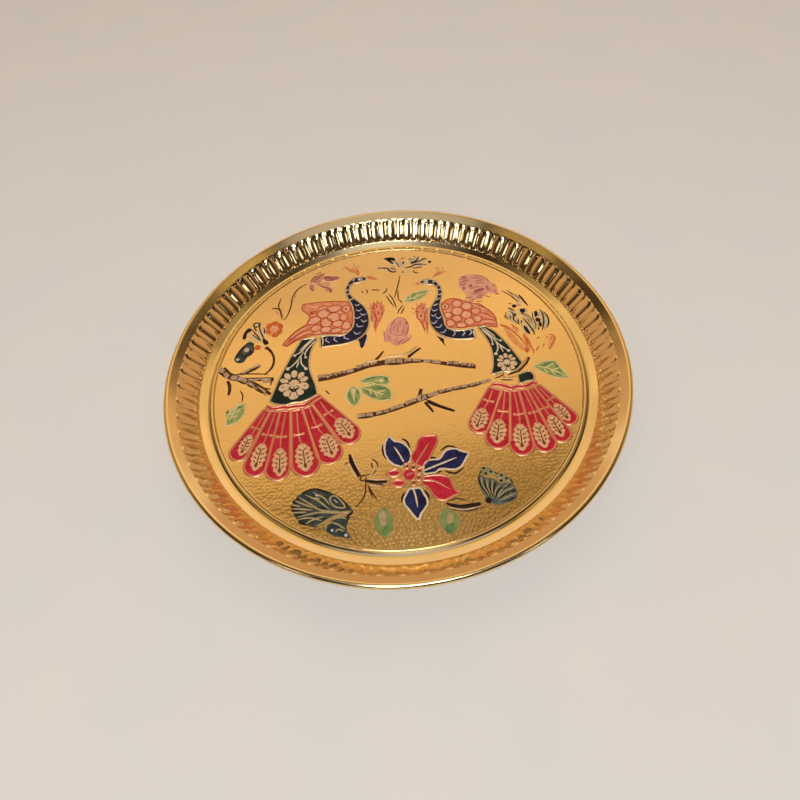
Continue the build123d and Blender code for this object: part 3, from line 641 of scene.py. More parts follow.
# The left peacock: raised brass edges, pale marks on the navy body and scales on the coral wing
leftPeacock = {
    "leftPeacockEdges": {
        "material": "raisedBrass", "slot": "polished_brass", "top": 1.12, "width": 1.1, "outwards": 0.45,
        "edgesOf": ["left_peacock_body_enamel", "left_peacock_train_enamel"]},
    "leftPeacockNeckBands": {
        "material": "creamEnamel", "slot": "polished_brass", "top": 1.10, "width": 0.95,
        "lines": [
            [(-21.3, 77.2), (-20.7, 80.2)], [(-26.3, 74.9), (-23.4, 74.2)],
            [(-27.0, 70.4), (-24.0, 70.3)], [(-26.3, 66.2), (-23.6, 66.9)],
            [(-24.4, 61.4), (-21.4, 62.9)], [(-21.9, 75.8), (-23.3, 72.8), (-23.6, 69.3), (-22.6, 65.4)],
            [(-41.6, 34.8), (-40.9, 31.0), (-41.3, 27.3)], [(-44.6, 35.2), (-36.0, 34.7), (-28.6, 33.4)]]},
    "leftPeacockEye": {
        "material": "creamEnamel", "slot": "polished_brass", "top": 1.10,
        "dots": [(-16.9, 79.0, 1.45)]},
    "leftPeacockPupil": {
        "material": "blackEnamel", "slot": "brown_enamel", "top": 1.14,
        "dots": [(-16.6, 78.9, 0.55)]},
    "leftPeacockCrescents": {
        "material": "paleBlueEnamel", "slot": "grey_enamel", "top": 1.07, "width": 0.85,
        "lines": [
            [(-21.2, 57.4), (-19.6, 56.4), (-18.0, 57.6)], [(-20.6, 53.2), (-18.8, 51.8), (-16.7, 53.3)],
            [(-18.0, 49.8), (-16.7, 48.1), (-14.4, 48.9)], [(-21.6, 47.2), (-20.0, 45.8), (-17.9, 47.4)],
            [(-17.9, 44.6), (-16.5, 42.7), (-14.1, 43.7)], [(-20.6, 41.6), (-19.7, 39.2), (-16.5, 39.3)],
            [(-22.6, 35.6), (-21.0, 33.5), (-18.4, 34.6)], [(-28.2, 34.0), (-28.1, 31.4), (-25.4, 30.1)],
            [(-33.7, 33.0), (-34.3, 31.0), (-32.3, 28.8)], [(-38.4, 32.9), (-39.3, 31.0), (-37.0, 28.8)]]},
    "leftWingScales": {
        "material": "lightCoralEnamel", "slot": "coral_enamel", "top": 1.05, "width": 1.5,
        "fills": scaleFills(leftScales),
        "lines": [
            [(-48.5, 43.4), (-54.0, 41.0), (-60.4, 35.4)], [(-47.0, 39.0), (-52.0, 38.0), (-57.4, 34.8)],
            [(-43.0, 58.2), (-47.0, 58.8), (-51.0, 60.0)], [(-36.0, 59.4), (-40.0, 60.6)]]},
    "leftWingLines": {
        "material": "brickEnamel", "slot": "coral_enamel", "top": 1.08, "width": 0.75,
        "edgesOf": ["left_peacock_wing_enamel"],
        "rings": scaleRings(leftScales, 0.4),
        "dots": [(-26.6, 54.4, 0.9), (-47.2, 53.0, 0.9)],
        "lines": [
            [(-47.0, 44.6), (-54.0, 41.9), (-60.0, 36.4), (-64.4, 31.4)],
            [(-48.0, 40.6), (-54.0, 38.8), (-63.2, 30.4)],
            [(-46.0, 37.2), (-50.6, 36.6), (-56.0, 34.4), (-62.0, 30.0)], [(-58.0, 36.0), (-61.4, 33.0)],
            [(-49.6, 51.6), (-46.4, 50.8)], [(-44.6, 50.6), (-48.6, 49.6)],
            [(-45.2, 55.0), (-49.0, 54.0)], [(-37.4, 58.6), (-43.0, 57.4), (-45.0, 53.0)]]},
    "leftThighTip": {
        "material": "inkNavyEnamel", "slot": "navy_enamel", "top": 1.03,
        "fills": [
            [(-19.6, 28.4), (-19.0, 23.0), (-17.6, 23.0), (-15.8, 28.0), (-15.2, 32.4), (-18.0, 31.4)]]},
    # painted highlight: a pale cream stroke down the right side of the thigh
    "leftThighPaintedHighlight": {
        "material": "creamEnamel", "slot": "polished_brass", "top": 1.06, "width": 0.8,
        "lines": [[(-14.4, 35.0), (-14.8, 30.0), (-16.8, 23.6)]]},
    "leftTuftLight": {
        "material": "lightCoralEnamel", "slot": "coral_enamel", "top": 1.06, "width": 0.8,
        "lines": [
            [(-9.4, 55.2), (-8.4, 52.6), (-7.4, 51.3), (-6.5, 53.0), (-6.4, 56.0)],
            [(-10.9, 49.4), (-10.2, 47.8)],
            [(-8.7, 49.6), (-7.8, 46.8), (-7.1, 45.2), (-6.3, 47.4), (-6.0, 50.4)],
            [(-10.4, 57.0), (-11.4, 53.6), (-11.0, 50.8)], [(-10.8, 46.2), (-10.5, 42.0), (-11.0, 37.0)]]},
    "leftTuftDark": {
        "material": "brickEnamel", "slot": "coral_enamel", "top": 1.08, "width": 0.8,
        "dots": [(-10.6, 53.0, 0.7)],
        "lines": [
            [(-7.9, 55.4), (-7.6, 52.6)], [(-6.9, 49.8), (-7.1, 46.8)],
            [(-9.6, 57.6), (-9.4, 54.4), (-9.6, 51.8)], [(-5.5, 54.8), (-5.2, 51.8)],
            [(-9.8, 50.4), (-9.2, 46.6), (-8.4, 44.0)], [(-8.4, 45.0), (-9.2, 41.0), (-9.6, 36.6)],
            [(-11.6, 47.6), (-11.4, 42.4)], [(-4.4, 49.4), (-5.4, 46.0)]]},
    "leftTuftFrill": {
        "material": "softCoralEnamel", "slot": "coral_enamel", "top": 1.04, "width": 0.8,
        "lines": [
            [(-11.4, 54.0), (-11.6, 57.4)], [(-9.4, 56.0), (-9.4, 58.8)], [(-7.4, 56.4), (-6.9, 59.2)],
            [(-5.6, 55.4), (-4.4, 57.8)], [(-12.0, 52.0), (-13.2, 54.0)], [(-4.6, 52.6), (-3.2, 54.2)],
            [(-4.2, 49.6), (-2.8, 50.4)]]},
    "leftCrest": {
        "material": "softCoralEnamel", "slot": "coral_enamel", "top": 1.04, "width": 0.85,
        "lines": [
            [(-18.0, 82.0), (-20.0, 85.6), (-24.8, 90.2)], [(-18.4, 82.2), (-20.0, 86.6), (-21.8, 90.8)],
            [(-17.4, 82.0), (-18.6, 86.2), (-19.8, 91.0)], [(-20.8, 85.0), (-26.4, 90.6)],
            [(-17.4, 83.0), (-18.2, 88.4)]],
        "dots": [(-17.5, 90.2, 0.7), (-25.6, 91.2, 0.6), (-20.2, 92.0, 0.6), (-27.6, 89.4, 0.5)],
        "fills": [[(-12.6, 80.9), (-9.6, 80.3), (-6.2, 77.6), (-8.6, 77.3), (-11.4, 78.6)]]},
    "leftTrainVeins": {
        "material": "creamEnamel", "slot": "polished_brass", "top": 1.07, "width": 0.95,
        "dots": [(-61.2, 12.4, 1.1), (-50.8, 11.2, 1.0), (-57.4, 21.6, 0.9), (-51.0, 19.6, 0.8)],
        "lines": [
            [(-44.8, 33.8), (-49.4, 29.6), (-53.6, 24.2), (-57.4, 21.6)],
            [(-46.4, 33.6), (-50.6, 29.4), (-54.6, 24.8)],
            [(-44.8, 31.8), (-49.0, 27.0), (-51.3, 22.6), (-51.0, 19.6)],
            [(-52.2, 24.0), (-55.4, 18.2), (-58.6, 14.2), (-61.2, 12.4)],
            [(-53.6, 20.4), (-53.4, 15.4), (-50.8, 11.2)], [(-54.8, 17.4), (-56.2, 12.4)]]},
}

# The right peacock, facing it
rightPeacock = {
    "rightPeacockEdges": {
        "material": "raisedBrass", "slot": "polished_brass", "top": 1.12, "width": 1.1, "outwards": 0.45,
        "edgesOf": [
            "right_peacock_body_enamel", "right_peacock_train_enamel", "right_peacock_train_end_enamel"]},
    "rightPeacockNeckBands": {
        "material": "creamEnamel", "slot": "polished_brass", "top": 1.10, "width": 0.95,
        "lines": [
            [(28.0, 69.4), (29.6, 71.8)], [(30.2, 66.4), (32.8, 67.6)], [(30.6, 63.2), (33.3, 63.4)],
            [(30.2, 58.8), (33.0, 59.4)], [(28.2, 54.6), (31.0, 56.0)], [(26.2, 50.2), (29.4, 51.4)],
            [(48.6, 30.4), (47.4, 26.4), (47.8, 22.4)]]},
    "rightPeacockEye": {
        "material": "creamEnamel", "slot": "polished_brass", "top": 1.10,
        "dots": [(23.9, 71.0, 1.45)]},
    "rightPeacockPupil": {
        "material": "blackEnamel", "slot": "brown_enamel", "top": 1.14,
        "dots": [(23.7, 70.9, 0.55)]},
    "rightPeacockCrescents": {
        "material": "paleBlueEnamel", "slot": "grey_enamel", "top": 1.07, "width": 0.85,
        "lines": [
            [(25.0, 47.6), (26.4, 45.8), (28.8, 47.2)], [(24.2, 43.2), (25.6, 41.8), (27.4, 43.4)],
            [(26.7, 41.4), (28.3, 39.6), (30.2, 41.2)], [(23.7, 37.4), (25.2, 36.0), (27.3, 38.2)],
            [(25.4, 33.2), (28.0, 32.6), (30.0, 35.0)], [(28.0, 28.8), (30.0, 28.3), (31.9, 30.6)],
            [(34.8, 24.8), (36.5, 26.6), (36.0, 29.2)], [(40.4, 24.4), (42.1, 26.4), (41.4, 28.8)],
            [(44.4, 24.4), (46.2, 26.2), (45.3, 28.6)]]},
    "rightWingScales": {
        "material": "lightCoralEnamel", "slot": "coral_enamel", "top": 1.05, "width": 1.5,
        "fills": scaleFills(rightScales),
        "lines": [
            [(50.0, 45.6), (54.4, 44.6), (57.6, 42.6)], [(52.6, 39.4), (57.0, 37.6), (60.4, 35.0)],
            [(52.6, 33.4), (56.0, 33.6), (60.4, 32.4)], [(46.0, 52.6), (50.0, 52.0)]]},
    "rightWingLines": {
        "material": "darkRedEnamel", "slot": "coral_enamel", "top": 1.08, "width": 0.7,
        "edgesOf": ["right_peacock_wing_enamel"],
        "rings": scaleRings(rightScales, 0.3),
        "dots": [(33.3, 48.4, 0.9)],
        "lines": [
            [(50.6, 49.2), (54.6, 47.6), (58.2, 42.8)], [(53.0, 41.6), (57.4, 39.0), (61.0, 35.6)],
            [(53.4, 35.4), (57.6, 35.2), (61.4, 33.6)], [(53.0, 31.4), (57.0, 31.4), (61.4, 30.2)]]},
    "rightTuftLight": {
        "material": "lightCoralEnamel", "slot": "coral_enamel", "top": 1.05, "width": 0.9,
        "rings": [oval(18.3, 43.0, 1.2, 2.3), oval(19.2, 48.2, 1.9, 1.2, 20)],
        "lines": [[(21.8, 50.0), (21.0, 46.0)], [(19.4, 38.6), (19.8, 33.0)]]},
    "rightTuftDark": {
        "material": "brickEnamel", "slot": "coral_enamel", "top": 1.08, "width": 0.75,
        "dots": [(18.2, 43.0, 0.7), (20.2, 48.9, 0.8), (15.8, 47.0, 0.7)],
        "lines": [
            [(15.4, 48.6), (17.4, 50.6), (20.4, 50.6)], [(16.0, 45.6), (15.8, 41.6), (17.6, 39.4)],
            [(20.6, 44.8), (20.2, 40.2), (19.0, 37.4)], [(17.4, 39.0), (18.6, 34.8), (19.4, 30.4)],
            [(21.4, 38.4), (21.2, 32.0)], [(22.4, 48.2), (21.6, 44.0)]]},
    "rightTuftFrill": {
        "material": "softCoralEnamel", "slot": "coral_enamel", "top": 1.04, "width": 0.8,
        "lines": [
            [(17.0, 51.0), (16.4, 53.4)], [(19.2, 51.6), (19.2, 54.2)], [(21.2, 50.8), (22.0, 53.4)],
            [(14.8, 48.6), (13.0, 50.2)], [(22.6, 47.6), (24.0, 49.0)], [(14.4, 45.6), (13.0, 46.2)]]},
    "rightCrest": {
        "material": "softCoralEnamel", "slot": "coral_enamel", "top": 1.04, "width": 0.85,
        "lines": [
            [(28.0, 74.2), (31.0, 77.0), (33.6, 81.0)], [(28.8, 74.4), (32.6, 77.2), (36.0, 79.8)],
            [(29.4, 74.6), (33.4, 76.8), (35.8, 77.6)], [(18.6, 71.4), (19.3, 70.0), (18.3, 68.6)],
            [(16.2, 70.2), (19.2, 70.0)]],
        "dots": [(32.2, 82.0, 0.7), (35.6, 81.0, 0.5), (36.8, 78.2, 0.5), (18.9, 70.1, 0.8)]},
    "rightTrainVeins": {
        "material": "creamEnamel", "slot": "polished_brass", "top": 1.07, "width": 0.95,
        "dots": [(57.5, 8.8, 1.0), (65.0, 10.2, 1.0), (61.7, 18.2, 0.8), (56.7, 16.0, 0.7)],
        "lines": [
            [(51.8, 29.4), (55.0, 25.0), (58.2, 20.6), (61.7, 18.2)],
            [(53.4, 29.2), (56.4, 25.2), (59.2, 21.4)],
            [(52.4, 27.4), (55.6, 22.6), (57.0, 19.0), (56.7, 16.0)],
            [(57.6, 20.6), (60.6, 15.2), (65.0, 10.2)], [(58.8, 17.8), (59.4, 13.2), (57.5, 8.8)],
            [(60.6, 15.6), (61.8, 9.6)]]},
}


# A rosette on each train: petals as x, y, half length, half width and turn from its middle, and its marks
rosette = {
    "petals": (
        (0.0, 0.4, 3.2, 3.2, 0), (0.0, 7.6, 2.6, 1.9, 90), (-3.7, 6.3, 2.6, 1.7, 130),
        (3.7, 6.2, 2.6, 1.7, 50), (-5.6, 3.4, 2.5, 1.6, 160), (5.5, 3.3, 2.5, 1.6, 20),
        (-5.4, -1.4, 3.4, 2.6, 20),
        (5.2, -1.4, 3.3, 2.6, -20), (-3.6, -5.4, 2.4, 2.1, 40), (3.4, -5.3, 2.3, 2.1, -40),
        (-0.2, -7.6, 2.8, 2.6, 0)),
    "marks": (
        ((0.0, 2.6), (0.0, 4.2)), ((-1.6, 1.9), (-3.0, 3.4)), ((1.6, 1.9), (3.0, 3.4)),
        ((-2.0, 0.6), (-4.0, 0.9)), ((2.0, 0.6), (4.0, 0.9)), ((-1.3, -0.7), (-3.2, -2.2)),
        ((1.3, -0.7), (3.2, -2.2)), ((0.0, -1.2), (0.0, -4.6)), ((-1.9, 4.6), (-1.8, 8.2)),
        ((1.9, 4.6), (1.8, 8.2)),
        ((-4.0, 4.2), (-6.2, 5.6)), ((4.0, 4.2), (6.2, 5.6)), ((-4.2, 1.6), (-7.8, 1.4)),
        ((4.2, 1.6), (7.6, 1.4)), ((-4.0, -3.4), (-6.6, -4.4)), ((4.0, -3.4), (6.4, -4.4)),
        ((-1.8, -5.0), (-2.4, -8.2)),
        ((1.6, -5.0), (2.0, -8.2)), ((-5.6, -0.8), (-7.0, -1.6)), ((5.4, -0.8), (6.8, -1.6))),
    "petalTop": 1.07, "markTop": 1.11, "markWidth": 0.75, "markTaper": (0.6, 0.6), "leastScale": 0.8,
    "places": {"left": (-57.4, 0.6, 1.0), "right": (62.6, 1.8, 0.66)},
}


def drawRosette(r):
    for side, (x, y, scale) in r["places"].items():
        petals, marks = newInk(), newInk()
        for px, py, long, wide, degrees in r["petals"]:
            outline = oval(x + px * scale, y + py * scale, long * scale, wide * scale, degrees)
            addFill(petals, outline, r["petalTop"])
        markWidth = r["markWidth"] * max(scale, r["leastScale"])
        for line in r["marks"]:
            path = [(x + px * scale, y + py * scale) for px, py in line]
            addLine(marks, path, markWidth, r["markTop"], r["markTaper"])
        finishInk(f"{side}TrainRosette", petals, "sandEnamel")
        finishInk(f"{side}TrainRosetteMarks", marks, "umberEnamel")


# The tail fans, a feather to a row: root, knobbed bar, start and tip of the leaf-shaped eye, and its width
fans = {
    "left": (
        ((-73.0, -16.6), (-77.4, -26.2), (-80.0, -30.0), (-85.0, -42.2), 6.4),
        ((-67.4, -17.2), (-71.2, -31.0), (-73.2, -36.0), (-77.0, -52.0), 7.6),
        ((-61.7, -17.8), (-63.7, -33.0), (-64.0, -40.0), (-64.0, -56.6), 7.8),
        ((-55.6, -17.6), (-54.4, -32.6), (-52.6, -38.6), (-50.2, -55.2), 9.2),
        ((-49.0, -15.6), (-44.8, -28.6), (-40.8, -34.0), (-36.2, -48.6), 9.6),
        ((-43.0, -12.6), (-38.4, -20.6), (-33.6, -25.0), (-26.2, -38.0), 9.2)),
    "right": (
        ((51.6, -15.8), (48.4, -22.8), (44.8, -27.4), (38.8, -40.2), 8.6),
        ((58.0, -17.8), (54.8, -30.4), (52.2, -35.2), (48.0, -49.6), 8.6),
        ((62.8, -18.4), (62.8, -33.2), (62.2, -39.2), (60.4, -55.4), 8.2),
        ((68.2, -18.4), (70.8, -32.8), (71.0, -39.4), (72.4, -55.0), 7.6),
        ((72.4, -17.8), (76.6, -31.0), (78.6, -35.6), (82.4, -49.4), 7.0),
        ((76.6, -17.2), (81.0, -25.6), (82.8, -28.8), (88.2, -40.2), 6.0)),
}
# wires round and along a feather
wire = {"edgeOut": 0.5, "edgeWidth": 1.4, "edgeTop": 1.12, "ribbonOut": 0.45,
        "ribbonWidth": 1.0, "ribbonTop": 1.11, "shaftWidth": 1.0, "shaftTop": 1.09,
        "shaftTaper": (0.8, 0.6), "intoEye": 0.1,
        "barHalf": 2.3, "barWidth": 1.15, "barTop": 1.10, "knob": 0.95}
# its eye: a leaf with five fingers on each side, a rib, a brown drop near its end, veins, and notches
# between the fingers; ways are shares of the eye's length and halves are shares of its width
eyeMark = {"top": 1.07, "rows": 26, "ways": (0, 0.08, 0.25, 0.5, 0.72, 0.9, 1.0),
           "halves": (0.12, 0.30, 0.42, 0.50, 0.44, 0.30, 0.05), "fingers": 5, "fingerDepth": 0.12,
           "drop": 0.80, "dropLong": 0.09, "dropHalf": 0.85, "dropTop": 1.12,
           "rib": (0.22, 0.74), "ribWidth": 0.75, "markTop": 1.11, "veinRise": 0.07, "veinWidth": 0.8,
           "veins": ((0.24, 0.08, 0.24), (0.42, 0.10, 0.30), (0.58, 0.12, 0.32), (0.72, 0.14, 0.28)),
           "notches": ((0.1, 0.40), (0.3, 0.52), (0.5, 0.58), (0.7, 0.54), (0.88, 0.42)), "notchRise": 0.03,
           "notchDepth": 0.19, "notchWidth": 0.75, "notchTop": 1.085, "notchTaper": (1.0, 0.4)}


# the direction from one place to another, and the one across it
def directions(start, end):
    run = (end - start) / math.hypot(*(end - start))
    return run, np.array((-run[1], run[0]))


def drawFan(side, feathers, w, e):
    wires, eyes, marks, notches = newInk(), newInk(), newInk(), newInk()
    for number in range(1, len(feathers) + 1):
        for loop in topLoops(f"{side}_peacock_feather_{number}_enamel"):
            path = evenLoop(loop, w["edgeOut"])
            addLine(wires, path, w["edgeWidth"], w["edgeTop"], closed=True, smooth=False)
    for loop in topLoops(f"{side}_peacock_ribbon_enamel"):
        path = evenLoop(loop, w["ribbonOut"])
        addLine(wires, path, w["ribbonWidth"], w["ribbonTop"], closed=True, smooth=False)
    for *places, wide in feathers:
        root, bar, eye, tip = (np.array(place) for place in places)
        shaft = [root, bar, eye + w["intoEye"] * (tip - eye)]
        addLine(wires, shaft, w["shaftWidth"], w["shaftTop"], w["shaftTaper"])
        run, across = directions(root, bar)
        ends = [bar - w["barHalf"] * across, bar + w["barHalf"] * across]
        addLine(wires, ends, w["barWidth"], w["barTop"])
        for end in ends:
            addFill(wires, oval(*end, w["knob"], w["knob"]), w["barTop"])
        run, across = directions(eye, tip)
        long = math.hypot(*(tip - eye))

        def spot(way, half=0.0):
            return eye + way * long * run + half * across

        ways = np.linspace(0, 1, e["rows"])
        fingers = 1 + e["fingerDepth"] * np.cos(2 * math.pi * e["fingers"] * ways)
        halves = wide * np.interp(ways, e["ways"], e["halves"]) * fingers
        edge = [spot(way, half) for way, half in zip(ways, halves)]
        edge += [spot(way, -half) for way, half in zip(ways[::-1], halves[::-1])]
        addFill(eyes, edge, e["top"])
        slope = math.degrees(math.atan2(run[1], run[0]))
        addFill(marks, oval(*spot(e["drop"]), e["dropLong"] * long, e["dropHalf"], slope), e["dropTop"])
        addLine(marks, [spot(way) for way in e["rib"]], e["ribWidth"], e["markTop"])
        for way, near, far in e["veins"]:
            for hand in (-wide, wide):
                vein = [spot(way, hand * near), spot(way - e["veinRise"], hand * far)]
                addLine(marks, vein, e["veinWidth"], e["markTop"])
        for way, half in e["notches"]:
            for hand in (-wide, wide):
                notch = [spot(way - e["notchRise"], hand * half), spot(way, hand * (half - e["notchDepth"]))]
                addLine(notches, notch, e["notchWidth"], e["notchTop"], e["notchTaper"])
    finishInk(f"{side}FanWires", wires, "copperyBrass")
    finishInk(f"{side}FanEyes", eyes, "peachEnamel")
    finishInk(f"{side}FanNotches", notches, "crimsonEnamel")
    finishInk(f"{side}FanMarks", marks, "umberEnamel")


# The star flower: pale edges and midribs, a ring of beads round a red heart
starBeads = ((1.0, -57.7), (4.3, -58.8), (7.2, -61.2), (6.4, -64.9), (3.6, -67.5))
starFlower = {
    "starBlueEdges": {
        "material": "creamEnamel", "slot": "polished_brass", "top": 1.11, "width": 1.05, "outwards": 0.5,
        "taper": (1.0, 0.25),
        "edgesOf": ["star_flower_blue_petals_enamel"],
        "lines": [
            [(-0.3, -55.2), (-2.2, -50.6), (-4.5, -45.8)], [(3.0, -70.2), (4.0, -75.5), (4.4, -81.2)],
            [(9.6, -61.3), (17.0, -58.8), (26.8, -55.6)]]},
    "starRedEdges": {
        "material": "copperyBrass", "slot": "polished_brass", "top": 1.12, "width": 1.05,
        "outwards": 0.45, "taper": (1.0, 0.25),
        "edgesOf": ["star_flower_red_petals_enamel", "star_flower_small_petals_enamel"],
        "rings": [
            *(oval(x, y, 1.5, 1.5) for x, y in starBeads),
            [(-9.8, -61.0), (-5.6, -58.7), (-2.0, -60.0), (-2.3, -62.2), (-6.4, -62.9)],
            [(-8.4, -66.8), (-4.6, -64.7), (-0.9, -66.0), (-1.4, -68.5), (-4.8, -69.2)]],
        "lines": [
            [(6.0, -56.5), (9.8, -51.2), (13.8, -45.2)], [(8.2, -66.6), (14.2, -67.9), (20.8, -72.8)]]},
    "starBeadHearts": {
        "material": "umberEnamel", "slot": "brown_enamel", "top": 1.08,
        "dots": [(x, y, 0.8) for x, y in starBeads]},
    # painted highlight: a pale pink stroke across the red heart
    "starHeartPaintedHighlight": {
        "material": "rosePinkEnamel", "slot": "pink_enamel", "top": 1.08, "width": 1.5,
        "lines": [[(0.4, -63.2), (2.4, -62.3), (4.2, -61.9)]]},
    "starDarkLines": {
        "material": "blackEnamel", "slot": "brown_enamel", "top": 1.09, "width": 1.1,
        "lines": [
            [(-10.4, -44.0), (-10.6, -47.4), (-9.8, -50.8), (-7.4, -54.0)],
            [(-0.4, -41.2), (2.2, -43.2), (3.6, -47.4)], [(-7.8, -39.6), (-6.4, -39.0)],
            [(19.0, -50.6), (23.4, -48.4), (28.4, -50.6)], [(20.0, -62.8), (24.8, -64.4), (29.6, -61.8)],
            [(31.8, -52.6), (32.9, -55.0)], [(-3.2, -77.4), (-2.4, -74.2), (-0.4, -72.4)],
            [(8.6, -72.2), (10.0, -74.8), (10.4, -77.4)], [(10.6, -57.4), (14.2, -54.4), (17.4, -56.0)],
            [(8.8, -63.0), (13.4, -63.3), (18.4, -62.6)]]},
}


# Branches: dark bark bands over brown, dark painted shade along their lower edges, and painted highlights in
# pale brass
knot = {"inset": 0.7, "endShare": 0.8}


# one cell of bark between two knots, from end to end, with its half width and its corners cut
def segment(x0, y0, x1, y1, half):
    start = np.array((x0, y0))
    end = np.array((x1, y1))
    run, across = directions(start, end)
    side = half * across
    inset = knot["inset"] * run
    endSide = knot["endShare"] * side
    return [start + endSide, start + inset + side, end - inset + side, end + endSide,
            end - endSide, end - inset - side, start + inset - side, start - endSide]


branchCells = [segment(*cell) for cell in (
    (-44.0, 4.2, -38.6, 4.6, 1.5), (-37.6, 4.6, -33.4, 5.3, 1.4), (-32.4, 5.4, -28.4, 6.3, 1.3),
    (-27.6, 6.4, -23.6, 7.2, 1.2), (-21.8, 8.4, -15.0, 10.2, 1.6), (-14.0, 10.2, -10.4, 11.2, 1.0),
    (-5.6, 10.8, 4.2, 10.4, 2.1), (5.4, 10.2, 14.6, 9.2, 1.4), (16.4, 8.7, 20.4, 8.0, 1.2),
    (21.2, 7.8, 25.8, 6.7, 1.2), (29.2, 5.8, 35.6, 4.4, 1.5), (37.2, 3.9, 44.6, 1.8, 1.3),
    (-22.8, -24.9, -14.4, -24.6, 1.4), (-12.6, -24.2, -5.8, -22.8, 1.4), (-4.9, -22.5, 2.4, -20.3, 1.4),
    (3.8, -19.7, 9.4, -17.5, 1.5), (10.2, -17.1, 15.0, -15.7, 2.0), (16.2, -15.5, 21.8, -14.1, 1.3),
    (22.6, -13.9, 29.8, -12.6, 1.2), (30.6, -12.4, 38.6, -11.6, 1.2), (39.8, -11.4, 45.0, -10.4, 1.1),
    (45.8, -10.2, 51.6, -8.9, 1.0), (-101.2, 17.8, -98.4, 14.2, 1.7), (-97.8, 13.4, -95.6, 10.4, 1.7),
    (-93.6, 10.4, -90.0, 9.4, 1.6), (-89.4, 9.0, -84.8, 5.8, 1.8), (-84.2, 5.2, -80.0, 2.2, 1.3),
    (-79.4, 1.7, -73.8, -2.8, 1.2), (-83.4, 7.4, -78.0, 6.8, 0.8), (-76.2, 6.4, -70.6, 5.9, 0.9),
    (-87.6, 12.0, -77.6, 17.0, 1.0))]
